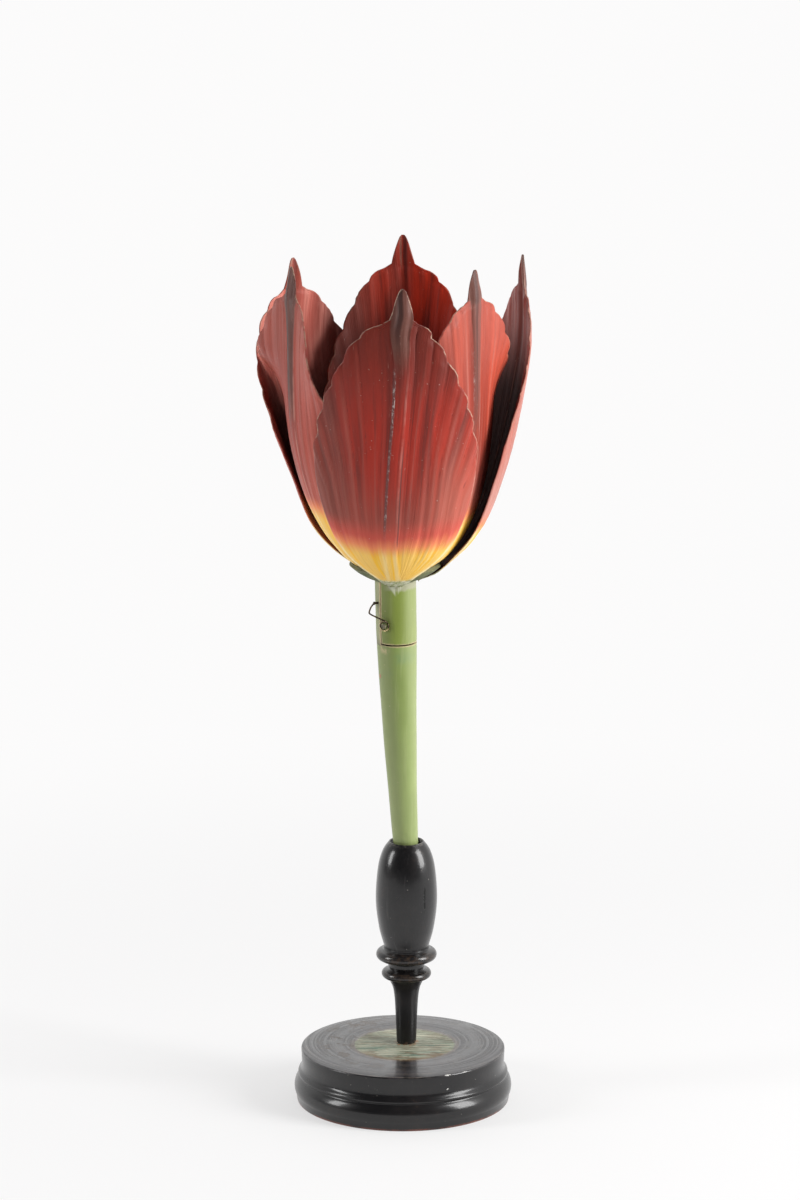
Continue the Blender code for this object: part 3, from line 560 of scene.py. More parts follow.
def emboss(shader, height, depth):
    """Bump of the given depth in metres."""
    give(shader, "Normal", add_node("ShaderNodeBump", {"Height": height, "Distance": depth, "Strength": 1.0}))


def give_all(shader, colour, roughness, height, depth):
    give(shader, "Base Color", colour)
    give(shader, "Roughness", roughness)
    emboss(shader, height, depth)


# Petal paint: each petal's own look first, then the tints that all six share. The looks differ from petal to
# petal partly as painted light: the petals and linings turned to the right-hand lamp are painted brighter and
# paler, and the dusty reds partly paint a sheen. deep, bright and dusty are the reds of the outside, rosy the
# border above the yellow foot, browned the red towards the tip, and the colour after it the pale tint of the
# raised veins, partly a painted highlight on their crests. veined, haze, brown, claw, ribbed, worn and bare say
# how much of each shows. foot is the share of the length where the yellow ends, and rib_from to rib_to is where
# the midrib turns brown. Inside, the last three give painted shade on one side of the petal, a painted sheen on
# one side, and the share of the length from which the inside is painted lighter, as painted light.
Look = namedtuple(
    "Look",
    "deep bright dusty rosy browned ridge lining lining_bright rib veined haze brown foot claw rib_from rib_to "
    "ribbed worn bare side_dark side_dusty open_from",
    defaults=(0.0, 0.0, 0.52),
)
LOOKS = {
    "petal_front": Look(
        deep=(0.165, 0.019, 0.013), bright=(0.410, 0.026, 0.012), dusty=(0.380, 0.076, 0.052),
        rosy=(0.660, 0.090, 0.060), browned=(0.165, 0.030, 0.021), ridge=(0.56, 0.210, 0.170),
        lining=(0.17, 0.022, 0.018), lining_bright=(0.30, 0.035, 0.026), rib=(0.150, 0.056, 0.042),
        veined=0.75, haze=0.72, brown=0.82, foot=0.226, claw=1.0, rib_from=0.80, rib_to=0.92, ribbed=1.0,
        worn=1.0, bare=0.80),
    # Painted light: the brighter coral reds of this petal stand for the right-hand lamp falling on it.
    "petal_right_front": Look(
        deep=(0.340, 0.050, 0.030), bright=(0.600, 0.088, 0.048), dusty=(0.560, 0.210, 0.165),
        rosy=(0.560, 0.140, 0.090), browned=(0.330, 0.085, 0.060), ridge=(0.62, 0.330, 0.270),
        lining=(0.20, 0.030, 0.022), lining_bright=(0.34, 0.045, 0.030), rib=(0.170, 0.078, 0.062),
        veined=0.60, haze=0.30, brown=0.40, foot=0.250, claw=0.0, rib_from=0.45, rib_to=0.75, ribbed=0.75,
        worn=0.2, bare=0.40),
    # Painted light: this petal's pale pinks outside stand for the sheen of the right-hand lamp on it.
    "petal_right_back": Look(
        deep=(0.420, 0.125, 0.095), bright=(0.540, 0.155, 0.115), dusty=(0.580, 0.280, 0.235),
        rosy=(0.620, 0.240, 0.185), browned=(0.300, 0.130, 0.105), ridge=(0.62, 0.360, 0.300),
        lining=(0.260, 0.045, 0.032), lining_bright=(0.410, 0.082, 0.060), rib=(0.200, 0.095, 0.075),
        veined=0.60, haze=0.70, brown=0.45, foot=0.250, claw=1.0, rib_from=0.70, rib_to=0.90, ribbed=0.9,
        worn=0.2, bare=0.40, open_from=0.60),
    # Painted sheen: one side of this petal's lining is made paler with the dusty red.
    "petal_back": Look(
        deep=(0.200, 0.030, 0.024), bright=(0.400, 0.050, 0.034), dusty=(0.360, 0.110, 0.085),
        rosy=(0.500, 0.100, 0.070), browned=(0.150, 0.045, 0.036), ridge=(0.50, 0.210, 0.160),
        lining=(0.250, 0.028, 0.017), lining_bright=(0.640, 0.046, 0.020), rib=(0.240, 0.050, 0.036),
        veined=0.55, haze=0.45, brown=0.55, foot=0.240, claw=0.0, rib_from=0.78, rib_to=0.93, ribbed=0.9,
        worn=0.2, bare=0.25, side_dusty=0.62),
    # Painted light: the bright coral of this lining stands for the right-hand lamp on it; one side is painted
    # shade.
    "petal_left_back": Look(
        deep=(0.260, 0.050, 0.036), bright=(0.440, 0.075, 0.050), dusty=(0.500, 0.180, 0.145),
        rosy=(0.500, 0.120, 0.085), browned=(0.200, 0.060, 0.050), ridge=(0.56, 0.260, 0.210),
        lining=(0.560, 0.120, 0.088), lining_bright=(0.860, 0.290, 0.225), rib=(0.320, 0.055, 0.038),
        veined=0.55, haze=0.45, brown=0.45, foot=0.240, claw=1.0, rib_from=0.80, rib_to=0.95, ribbed=0.6,
        worn=0.2, bare=0.35, side_dark=0.85),
    # Painted sheen: the dusty pinks of this petal stand for the sheen of the left-hand lamp on it.
    "petal_left_front": Look(
        deep=(0.320, 0.052, 0.034), bright=(0.450, 0.078, 0.052), dusty=(0.500, 0.150, 0.112),
        rosy=(0.480, 0.095, 0.065), browned=(0.300, 0.100, 0.076), ridge=(0.60, 0.270, 0.215),
        lining=(0.20, 0.030, 0.024), lining_bright=(0.34, 0.045, 0.032), rib=(0.125, 0.047, 0.035),
        veined=0.60, haze=0.14, brown=0.40, foot=0.275, claw=0.0, rib_from=0.50, rib_to=0.72, ribbed=1.0,
        worn=0.3, bare=0.50),
}
# Painted light: salmon for the lit side of the front petal.
PAINTED_LIGHT_SALMON = (0.640, 0.170, 0.115)
SCARLET = (0.440, 0.026, 0.012)
# Painted shade: brown for the shaded side of the front petal.
PAINTED_SHADE_BROWN = (0.215, 0.062, 0.045)
ORANGE = (0.84, 0.24, 0.10)
DEEP_YELLOW = (0.97, 0.53, 0.025)
VEIN_YELLOW = (0.96, 0.76, 0.38)
RIB_YELLOW = (0.98, 0.76, 0.36)
OCHRE = (0.70, 0.46, 0.12)
RIM_YELLOW = (0.96, 0.82, 0.50)
CLAW_GREEN = (0.30, 0.33, 0.15)
CLAW_PALE = (0.66, 0.65, 0.50)
FURROW_BROWN = (0.060, 0.030, 0.027)
RIB_PINK = (0.46, 0.24, 0.18)
WORN_LINE = (0.150, 0.064, 0.060)
FLECK_LOW = (0.42, 0.33, 0.30)
FLECK_HIGH = (0.72, 0.64, 0.60)
RIDGE_SHADOW = (0.095, 0.042, 0.036)
RUBBED_RED = (0.60, 0.30, 0.24)
# Light specks, partly painted glints.
PETAL_SPECK_AND_GLINT = (0.62, 0.50, 0.42)
SCRAPED_PINK = (0.52, 0.26, 0.21)

PetalFields = namedtuple(
    "PetalFields",
    "across share rib rim crease vein inner mixed panels streaks hairs patches small grain",
)


def read_petal(where):
    """What a petal's paint goes by: its place in the fan of veins, the mesh's layers and the brush marks."""
    fan = add_node("ShaderNodeAttribute", output="Vector", tree=where.tree, attribute_name="fan")
    layers = [
        add_node("ShaderNodeAttribute", output="Fac", tree=where.tree, attribute_name=layer)
        for layer in ("rib", "rim", "crease", "vein", "inner")
    ]
    broad = noise(fan, (3.0, 2.2, 9.0), 3.0, 0.5, 0.3)
    panels = noise(fan, (8.0, 1.3, 9.0), 2.0, 0.5, 0.3)
    streaks = noise(fan, (26.0, 2.6, 9.0), 3.0, 0.55, 0.3)
    hairs = noise(fan, (120.0, 7.0, 9.0), 3.0, 0.7)
    spread = [noise(where, 60.0, 4.0, 0.6), noise(where, 420.0, 4.0, 0.7), noise(where, 1100.0, 2.0, 0.6)]
    on = PetalFields(*split(fan)[:2], *layers, broad * 0.55 + panels * 0.45, panels, streaks, hairs, *spread)
    return on, fan


def petal_red(on, look):
    """Reds in broad panels, dustier low down and browner at the top; painted highlight on the veins, painted
    shade in the creases and on one side, and salmon painted light low on the other side.
    """
    red = paint(look.deep, look.bright, rise(on.mixed, 0.41, 0.57))
    red = paint(red, look.dusty, rise(on.share, 0.54, 0.30) * look.haze)
    # The raised veins are painted paler, partly their own paint and partly a painted highlight on their crests.
    red = paint(red, between(look.dusty, look.ridge, 0.50), on.vein * look.veined)
    red = paint(red, look.dusty, rise(on.streaks, 0.54, 0.74) * look.veined * 0.40)
    red = paint(red, look.deep, rise(on.streaks, 0.47, 0.30) * (0.22 + rise(on.share, 0.32, 0.60) * 0.38))
    # Painted light: salmon low on one side of the petal, the front petal's right, where the key light falls.
    side_painted_light = rise(on.across, 0.20, 0.85) * rise(on.share, 0.66, 0.34) * look.worn
    red = paint(red, PAINTED_LIGHT_SALMON, side_painted_light * 0.45)
    glow = band(on.across, 0.02, 0.12, 0.40) * band(on.share, 0.56, 0.10, 0.16) * look.worn
    red = paint(red, SCARLET, glow * rise(on.streaks, 0.38, 0.56) * 0.65)
    # Painted shade: the creases are darkened with the deep red.
    red = paint(red, look.deep, rise(on.crease, 0.45, 0.05) * 0.65)
    # Painted shade: brown over the other side of the petal, away from the key light.
    other_side_painted_shade = rise(on.across, -0.30, -0.85) * rise(on.share, 0.80, 0.60) * look.worn
    red = paint(red, PAINTED_SHADE_BROWN, other_side_painted_shade * 0.55)
    red = paint(red, look.browned, rise(on.share + on.patches * 0.12, 0.62, 0.94) * look.brown)
    return shade(red, 0.89 + on.hairs * 0.22)


def petal_foot(on, look, red, climb):
    """Yellow foot with a soft rosy border, paler on the veins, and a pale green claw at the stem."""
    red = paint(red, look.rosy, rise(climb, look.foot + 0.105, look.foot + 0.030) * 0.80)
    colour = paint(red, ORANGE, rise(climb, look.foot + 0.046, look.foot))
    yellow = paint(colours().yellow, DEEP_YELLOW, rise(on.panels, 0.48, 0.58))
    yellow = paint(yellow, VEIN_YELLOW, on.vein * 0.45)
    beside_rib = larger(band(on.rib, 0.80, 0.10, 0.55), band(on.rib, -1.0, 0.10, 0.60))
    yellow = paint(yellow, RIB_YELLOW, beside_rib * 0.60)
    yellow = paint(yellow, OCHRE, rise(on.streaks, 0.46, 0.34) * 0.22)
    yellow = paint(yellow, RIM_YELLOW, rise(on.rim, 2.6, 0.8) * 0.7)
    colour = paint(colour, yellow, rise(climb, look.foot + 0.016, look.foot - 0.040))
    claw = rise(on.share - on.streaks * 0.030, 0.066, 0.050)
    claw_green = paint(CLAW_GREEN, CLAW_PALE, rise(on.small, 0.42, 0.60))
    return paint(colour, claw_green, claw * look.claw)


def petal_lining(on, look, inside_painted_light):
    """The inside: a deeper red, darkened as painted shade towards the middle of the flower, with a painted
    sheen on one side of some petals.
    """
    lining = paint(look.lining, look.lining_bright, rise(on.mixed, 0.42, 0.56))
    streak = between(look.lining_bright, look.dusty, 0.40)
    lining = paint(lining, streak, rise(on.streaks, 0.55, 0.70) * 0.50)
    lining = paint(lining, look.lining, rise(on.streaks, 0.46, 0.32) * 0.6)
    lining = paint(lining, look.dusty, on.vein * 0.20)
    # Painted sheen: a dusty red over one side of the lining.
    lining = paint(lining, look.dusty, rise(on.across, -0.05, 0.45) * look.side_dusty)
    lining = shade(lining, 0.86 + on.hairs * 0.28)
    # Painted shade: darkened low down and on one side; lighter near the top and the edge as painted light.
    return shade(lining, 0.13 + inside_painted_light * 0.87)


def petal_rib(on, look, colour, outside):
    """Grey brown midrib and tip with a dark furrow, and a pale line inside the tip."""
    narrow = rise(size_of(on.rib), 1.10, 0.80)
    on_rib = narrow * rise(on.share + on.patches * 0.10, look.rib_from, look.rib_to)
    on_tip = larger(narrow * rise(on.share, CUSP_START - 0.030, CUSP_START),
                    rise(on.share, CUSP_START, CUSP_START + 0.004))
    tip = larger(on_rib * look.ribbed, on_tip)
    brown = paint(look.rib, colours().midrib, rise(on.patches, 0.42, 0.68) * 0.7)
    brown = paint(brown, colours().bare_edge, rise(on.small, 0.62, 0.78) * 0.28)
    colour = paint(colour, brown, tip * outside * 0.94)
    furrow = band(on.rib, -0.20, 0.08, 0.26) * rise(on.share, look.rib_from, look.rib_to) * 0.75
    colour = paint(colour, FURROW_BROWN, furrow * look.ribbed)
    pale_line = band(on.rib, 0.22, 0.04, 0.12) * rise(on.share, 0.88, 0.93) * on.inner * 0.6
    return paint(colour, RIB_PINK, pale_line)


def rib_lines(on, look, colour, outside, climb, where):
    """A worn, flecked line beside the midrib, and on the midrib's other side a pale ridge, partly a painted
    highlight, with a painted shadow just beyond it.
    """
    along = rise(on.share, 0.255, 0.330) * rise(on.share, 0.80, 0.72) * look.worn
    worn_line = band(on.rib, -1.0, 0.14, 0.18) * along
    colour = paint(colour, WORN_LINE, worn_line * 0.80)
    dashes = noise(where, (800.0, 800.0, 330.0), 4.0, 0.75)
    flecks = band(on.rib, -0.95, 0.12, 0.16) * along * rise(dashes, 0.52, 0.59)
    colour = paint(colour, paint(FLECK_LOW, FLECK_HIGH, rise(on.share, 0.56, 0.68)), flecks * 0.85)
    above_foot = rise(climb, look.foot - 0.01, look.foot + 0.03)
    # Painted highlight: a pale line along the ridge beside the midrib, and a painted shadow just beyond it.
    ridge = band(on.rib, 1.0, 0.06, 0.24) * rise(on.share, 0.80, 0.66) * outside * above_foot
    colour = paint(colour, look.ridge, ridge * rise(on.patches, 0.30, 0.60) * 0.55)
    shadow = band(on.rib, 1.30, 0.05, 0.16) * rise(on.share, 0.62, 0.50) * above_foot * look.worn
    return paint(colour, RIDGE_SHADOW, shadow * 0.70), worn_line


def petal_wear(on, look, colour, outside, where, fan):
    """Bare chipped edge, a few light specks that are partly painted glints, and fine scrapes."""
    ragged = on.rim + (on.small - 0.5) * 1.6
    in_places = rise(noise(where, 95.0, 3.0, 0.6), 0.42, 0.58)
    bare = rise(ragged, 0.46, 0.12) * rise(on.share, 0.16, 0.34) * in_places * look.bare
    colour = paint(colour, paint(colours().bare_edge, RUBBED_RED, rise(on.share, 0.62, 0.48)), bare)
    # Light specks over the petal, partly painted glints of the lamps.
    specks = rise(noise(where, 620.0, 2.0, 0.5), 0.745, 0.77)
    colour = paint(colour, PETAL_SPECK_AND_GLINT, specks * 0.5)
    scrapes = rise(noise(fan, (110.0, 16.0, 9.0), 4.0, 0.7), 0.62, 0.70)
    scrapes = scrapes * rise(on.share, 0.40, 0.60) * rise(on.share, 0.93, 0.84) * rise(on.patches, 0.42, 0.60)
    return paint(colour, SCRAPED_PINK, scrapes * outside * 0.50), bare


def tinted_look(name):
    """The petal's look with the chosen tint over its colours."""
    tint = tuple(colours().petals)
    return Look(*[
        tuple(a * b for a, b in zip(value, tint)) if isinstance(value, tuple) else value
        for value in LOOKS[name]
    ])


def petal_paint(name):
    """Red paint brushed along the veins, yellow at the foot, a grey brown midrib and worn, chipped edges."""
    look = tinted_look(name)
    material, shader, where = new_material(name + "_paint", specular=0.21, coat=0.05)
    on, fan = read_petal(where)
    climb = on.share - on.across * on.across * 0.013 + (on.panels - 0.5) * 0.045 - on.vein * 0.008
    # Painted light and shade inside: darkest low down, lighter from a share of the length and near the edge,
    # and on some petals darker on one side.
    inside_painted_light = larger(rise(on.share, look.open_from, 0.84), rise(on.rim, 12.0, 3.0) * 0.36)
    inside_painted_light = inside_painted_light * (1.0 - rise(on.across, -0.12, -0.50) * look.side_dark)
    outside = 1.0 - on.inner * 0.6
    colour = petal_foot(on, look, petal_red(on, look), climb)
    colour = paint(colour, petal_lining(on, look, inside_painted_light), rise(on.inner, 0.45, 0.55))
    colour = petal_rib(on, look, colour, outside)
    colour, worn_line = rib_lines(on, look, colour, outside, climb, where)
    colour, bare = petal_wear(on, look, colour, outside, where, fan)
    rough = 0.34 + on.patches * 0.16 + on.inner * (1.0 - inside_painted_light) * 0.35 + bare * 0.25
    height = on.streaks * 0.9 + on.hairs * 0.35 + on.grain * 0.07 - bare * 0.35 - worn_line * 0.50
    give_all(shader, colour, rough, height, 0.00040)
    return material


# Tints of the stem's paint, with painted light on its right side and a painted sheen on its left
LOW_GREEN = (0.300, 0.372, 0.132)
UPPER_GREEN = (0.225, 0.290, 0.050)
BLUISH_GREEN = (0.185, 0.285, 0.120)
STROKE_GREEN = (0.44, 0.48, 0.24)
LIT_GREEN = (0.380, 0.430, 0.215)
LEFT_SHEEN_GREEN = (0.265, 0.300, 0.140)
UPPER_LEFT_SHEEN_GREEN = (0.195, 0.225, 0.085)
FADED_GREEN = (0.46, 0.43, 0.29)
BARE_PAPER = (0.56, 0.45, 0.26)
COLLAR_GREY = (0.44, 0.42, 0.31)
SMEAR_GREEN = (0.62, 0.64, 0.48)
STEM_FLECK = (0.48, 0.42, 0.26)
PAINT_DRIP = (0.86, 0.88, 0.76)
RUSTY_CHIP = (0.42, 0.17, 0.09)
CUT_GAP_SHADE = (0.10, 0.075, 0.040)
# Marks on the stem: where each is and its radius
SCUFF = ((-0.0110, -0.0040, 0.2690), 0.0028)
DRIP = ((-0.0046, -0.0056, 0.2391), 0.00065)
CHIP = ((-0.0137, 0.0010, 0.2520), 0.0014)


def green_paint():
    """Olive paint brushed along the stem, rubbed pale beside the seam, under the cut and in a few spots, with
    painted light on its right side, a painted sheen on its left and painted shade in the gap of seam and cut.
    """
    material, shader, where = new_material("green_paint", specular=0.30, coat=0.12)
    x, y, z = split(where)
    patches = noise(where, 45.0, 4.0, 0.6)
    strokes = noise(where, (420.0, 420.0, 16.0), 3.0, 0.6)
    small = noise(where, 300.0, 4.0, 0.7)
    colour = paint(colours().green, LOW_GREEN, rise(z, 0.262, 0.165))
    colour = paint(colour, UPPER_GREEN, rise(z, CUT_HEIGHT - 0.0002, CUT_HEIGHT + 0.0002))
    colour = shade(colour, 0.80 + patches * 0.40)
    under_cut = band(z, CUT_HEIGHT - 0.014, 0.006, 0.010) * rise(patches, 0.45, 0.65)
    colour = paint(colour, BLUISH_GREEN, under_cut * 0.7)
    colour = paint(colour, STROKE_GREEN, rise(strokes, 0.5, 0.75) * 0.28)
    # Painted light: a paler green on the stem's right side, and a greyer green on its left as a painted sheen.
    sideways = x - (0.0022 + rise(z, 0.150, 0.290) * -0.0065)
    colour = paint(colour, LIT_GREEN, rise(sideways, 0.0020, 0.0090) * 0.50)
    left_painted_sheen = paint(LEFT_SHEEN_GREEN, UPPER_LEFT_SHEEN_GREEN, rise(z, CUT_HEIGHT - 0.0002, CUT_HEIGHT))
    colour = paint(colour, left_painted_sheen, rise(sideways, 0.0005, -0.0070) * 0.65)

    # Rubbed places: seam, cut and a scuff below it
    along = (x - FLOWER.x) * math.cos(SEAM_FACING) + (y - FLOWER.y) * math.sin(SEAM_FACING)
    fray = (small - 0.5) * 0.0016
    above_cut = rise(z, CUT_HEIGHT - 0.0006, CUT_HEIGHT)
    seam = band(along + fray, 0.0001, 0.0006, 0.0006) * above_cut
    faded = rise(along, -0.0060, -0.0010) * rise(along, 0.0012, 0.0004) * above_cut
    lips = band(z + fray, CUT_HEIGHT + 0.5 * CUT_GAP, 0.0007, 0.0006) * rise(along, -0.0006, 0.0002)
    scuff = spot(where, *SCUFF, 0.7) * rise(small, 0.46, 0.60)
    bare = larger(larger(seam * 0.9, lips * 0.70), scuff * 0.8)
    colour = paint(colour, FADED_GREEN, faded * 0.6)
    colour = paint(colour, BARE_PAPER, bare)

    # Pale collar and smear under the flower, flecks, a drip, a chip, and the faces of seam and cut darkened
    # brown as painted shade in the gap
    collar = rise(z - strokes * 0.0030, 0.3015, 0.3035) * rise(x, -0.0120, -0.0060)
    colour = paint(colour, COLLAR_GREY, collar * 0.75)
    narrowing = size_of(x + 0.0040) * 1.1 - (z - 0.3005) * 0.8
    smear = rise(narrowing, 0.0008, -0.0012) * rise(y, -0.002, -0.004)
    smear = smear * rise(z, 0.2985, 0.3010) * rise(strokes, 0.36, 0.56)
    colour = paint(colour, SMEAR_GREEN, smear * 0.85)
    flecks = rise(noise(where, 330.0, 2.0, 0.5), 0.74, 0.765)
    colour = paint(colour, STEM_FLECK, flecks * 0.5)
    colour = paint(colour, PAINT_DRIP, spot(where, *DRIP))
    colour = paint(colour, RUSTY_CHIP, spot(where, *CHIP) * rise(small, 0.40, 0.52))
    # Painted shade: the faces inside the seam and the cut are darkened, as the gap is in shade.
    reach = reach_from(x, y, (FLOWER.x + 0.0002, FLOWER.y + 0.0001))
    deep = rise(reach, 0.0112, 0.0106) * rise(z, CUT_HEIGHT - 0.0010, CUT_HEIGHT - 0.0004)
    colour = paint(colour, CUT_GAP_SHADE, deep)
    give_all(shader, colour, 0.36 + patches * 0.12, strokes * 0.5 + small * 0.25, 0.00018)
    return material


def dish_paint():
    """Dark olive paint of the receptacle, frayed pale in front where the front petal's claw lies on it."""
    material, shader, where = new_material("dish_paint", specular=0.15)
    x, y, z = split(where)
    patches = noise(where, 130.0, 4.0, 0.6)
    small = noise(where, 500.0, 3.0, 0.6)
    dark_olive, olive, rim_grey, frayed_pale = (
        (0.070, 0.088, 0.028), (0.150, 0.165, 0.070), (0.22, 0.22, 0.14), (0.58, 0.58, 0.43))
    colour = paint(dark_olive, olive, rise(patches, 0.35, 0.7))
    colour = paint(colour, rim_grey, rise(z, STEM_TOP + 0.0078, STEM_TOP + 0.0088) * 0.5)
    frayed = rise(size_of(x - FLOWER.x), 0.0085, 0.0050) * rise(y, -0.004, -0.007)
    colour = paint(colour, frayed_pale, frayed * rise(small, 0.40, 0.56) * 0.8)
    give_all(shader, colour, 0.48 + patches * 0.15, small, 0.0002)
    return material


# Tints of the stand
WARM_BLACK = (0.013, 0.011, 0.011)
WORN_BROWN = (0.060, 0.036, 0.024)
STAND_SPECK = (0.26, 0.24, 0.21)
DUST_GREY = (0.048, 0.043, 0.046)
BLOTCH_BROWN = (0.075, 0.055, 0.040)
SCRATCH_GREY = (0.25, 0.205, 0.175)
DISC_EDGE = (0.085, 0.058, 0.036)
FOOT_WOOD = (0.40, 0.20, 0.10)
UNDER_RED = (0.22, 0.070, 0.045)
CHIP_WHITE = (0.72, 0.70, 0.66)
PALE_SAGE = (0.54, 0.53, 0.40)
TEAL = (0.075, 0.165, 0.120)
STAIN_BROWN = (0.19, 0.130, 0.075)
FIBRE_DARK = (0.10, 0.095, 0.062)
FIBRE_PALE = (0.50, 0.49, 0.38)
RAGGED_BROWN = (0.20, 0.125, 0.065)
BRUSHED_GREY = (0.042, 0.040, 0.040)
GOUGE_BLACK = (0.003, 0.003, 0.003)
RUBBED_BROWN = (0.070, 0.045, 0.030)
RIM_DUST = (0.13, 0.115, 0.10)
NECK_FOOT_WOOD = (0.20, 0.12, 0.075)
# Chips on the base's edge: where each is and its radius
BASE_CHIPS = [
    ((0.0242, -0.0532, BASE_HEIGHT - 0.0001), 0.00036), ((0.0250, -0.0528, BASE_HEIGHT - 0.0002), 0.00051),
    ((0.0258, -0.0524, BASE_HEIGHT - 0.0002), 0.00055), ((0.0268, -0.0519, BASE_HEIGHT - 0.0001), 0.00039),
    ((0.0345, -0.0473, BASE_HEIGHT), 0.00033), ((0.0353, -0.0467, BASE_HEIGHT - 0.0001), 0.00045),
    ((0.0361, -0.0461, BASE_HEIGHT), 0.00033), ((0.0253, -0.0527, 0.0226), 0.00037),
    ((0.0258, -0.0524, 0.0228), 0.00034),
]

TurnedFields = namedtuple(
    "TurnedFields", "material shader where x y z reach turning rings patches small colour rough height")


def turned_black(name):
    """Black stain and varnish on turned wood, with rings from the tool and brown wear."""
    material, shader, where = new_material(name, specular=0.32, coat=0.50, coat_roughness=0.13)
    x, y, z = split(where)
    reach = reach_from(x, y, (POST_X, POST_Y))
    turning = add_node("ShaderNodeCombineXYZ", {0: reach, 1: z})
    rings = noise(turning, (900.0, 900.0, 1.0), 3.0, 0.65)
    patches = noise(where, 60.0, 5.0, 0.65)
    small = noise(where, 380.0, 4.0, 0.65)
    colour = paint(colours().black, WARM_BLACK, rise(patches, 0.4, 0.7))
    wear = rise(patches, 0.58, 0.74) * rise(small, 0.46, 0.62)
    colour = paint(colour, WORN_BROWN, wear * 0.55)
    return TurnedFields(
        material, shader, where, x, y, z, reach, turning, rings, patches, small, colour,
        rough=0.22 + patches * 0.16, height=rings * 0.30 + small * 0.12)


def finish_turned(on, colour, rough, height):
    specks = rise(noise(on.where, 520.0, 2.0, 0.5), 0.745, 0.77)
    give_all(on.shader, paint(colour, STAND_SPECK, specks * 0.6), rough, height, 0.00016)
    return on.material


def disc_paint(on, inside, planks):
    """Pale sage paint of the disc, streaked along the planks and browned at its ragged front."""
    fibres = noise(on.where, (60.0, 1100.0, 1.0), 3.0, 0.7, 0.4)
    stains = noise(on.where, (70.0, 160.0, 1.0), 4.0, 0.65)
    front = rise(on.y, -0.004, -0.018)
    sage = paint(colours().sage, PALE_SAGE, rise(planks, 0.49, 0.56))
    sage = paint(sage, TEAL, rise(planks, 0.48, 0.42) * rise(on.y, 0.012, 0.002) * 0.9)
    sage = paint(sage, STAIN_BROWN, rise(stains, 0.48, 0.58) * (0.45 + front * 0.45))
    sage = paint(sage, FIBRE_DARK, rise(fibres, 0.50, 0.42) * 0.75)
    sage = paint(sage, FIBRE_PALE, rise(fibres, 0.56, 0.64) * 0.45)
    ragged = rise(inside, DISC_RADIUS - 0.0060, DISC_RADIUS - 0.0010) * front * rise(planks, 0.40, 0.52)
    return paint(sage, RAGGED_BROWN, ragged * 0.75)


def base_black():
    """Black base with a dusty, blotched top, rings and scratches, a pale disc, and chips on its edge."""
    on = turned_black("base_black")
    top = rise(on.z, BASE_HEIGHT - 0.0010, BASE_HEIGHT - 0.0004)
    dust = noise(on.where, 70.0, 5.0, 0.7)
    colour = paint(on.colour, DUST_GREY, top * rise(dust, 0.38, 0.60) * 0.8)
    more_at_left = 0.30 + rise(on.x, 0.010, -0.034) * 0.70
    blotches = rise(noise(on.where, 150.0, 5.0, 0.75), 0.50, 0.60) * top
    blotches = blotches * more_at_left * rise(on.reach, 0.056, 0.048)
    colour = paint(colour, BLOTCH_BROWN, blotches * 0.85)
    scratches = top * rise(on.rings, 0.56, 0.66) * rise(on.patches, 0.40, 0.56)
    colour = paint(colour, SCRATCH_GREY, scratches * 0.7)
    worn_rings = noise(on.turning, (620.0, 620.0, 1.0), 3.0, 0.7)
    worn_rings = top * rise(worn_rings, 0.49, 0.54) * rise(dust, 0.36, 0.50)

    inside = reach_from(on.x, on.y, DISC_CENTRE) + (on.small - 0.5) * 0.0034
    disc = top * rise(inside, DISC_RADIUS + 0.0004, DISC_RADIUS - 0.0006)
    edge = top * band(inside, DISC_RADIUS + 0.0004, 0.0010, 0.0016)
    planks = noise(on.where, (22.0, 430.0, 1.0), 5.0, 0.75, 0.6)
    colour = paint(colour, DISC_EDGE, edge * 0.85)
    colour = paint(colour, disc_paint(on, inside, planks), disc)
    colour = paint(colour, FOOT_WOOD, top * rise(on.reach, 0.0080, 0.0060) * rise(on.small, 0.4, 0.6))
    colour = paint(colour, UNDER_RED, rise(on.z, 0.0018, 0.0004) * rise(on.patches, 0.35, 0.6))
    for point, radius in BASE_CHIPS:
        colour = paint(colour, CHIP_WHITE, spot(on.where, point, radius) * rise(on.small, 0.30, 0.45))
    dull = larger(disc, larger(blotches, worn_rings * 0.75))
    give(on.shader, "Coat Weight", (0.45 + top * 0.40) * (1.0 - dull * 0.85))
    return finish_turned(on, colour, on.rough + disc * 0.30, on.height + planks * disc * 0.6)


def post_black():
    """Black post, brushed lengthwise, with rubbed rings, a dusty rim, a dull neck and a gouge in the bulb."""
    on = turned_black("post_black")
    brushed = noise(on.where, (340.0, 340.0, 12.0), 4.0, 0.7)
    colour = paint(on.colour, BRUSHED_GREY, rise(brushed, 0.56, 0.72) * 0.55)
    gouge = band(on.x, POST_X + 0.0103, 0.0002, 0.0006) * band(on.z, 0.1215, 0.0055, 0.0025)
    gouge = gouge * rise(on.y, POST_Y, POST_Y - 0.002) * rise(on.small, 0.38, 0.52)
    neck = rise(on.z, 0.076, 0.066)
    give(on.shader, "Coat Weight", (0.50 - neck * 0.36) * (1.0 - gouge))
    colour = paint(colour, GOUGE_BLACK, gouge)
    edges = larger(band(on.z, UPPER_RING.height, 0.0022, 0.0016), band(on.z, LOWER_RING.height, 0.0020, 0.0016))
    rubbed = edges * rise(on.reach, 0.0100, 0.0135) * rise(on.small, 0.44, 0.62)
    colour = paint(colour, RUBBED_BROWN, rubbed * 0.55)
    rim = rise(on.z, POST_HEIGHT - 0.0016, POST_HEIGHT - 0.0006) * rise(on.small, 0.46, 0.60)
    colour = paint(colour, RIM_DUST, rim * 0.6)
    foot = rise(on.z, BASE_HEIGHT + 0.0026, BASE_HEIGHT) * rise(on.small, 0.45, 0.6)
    colour = paint(colour, NECK_FOOT_WOOD, foot * 0.7)
    return finish_turned(on, colour, on.rough + neck * 0.08, on.height + brushed * 0.45 - gouge * 0.8)


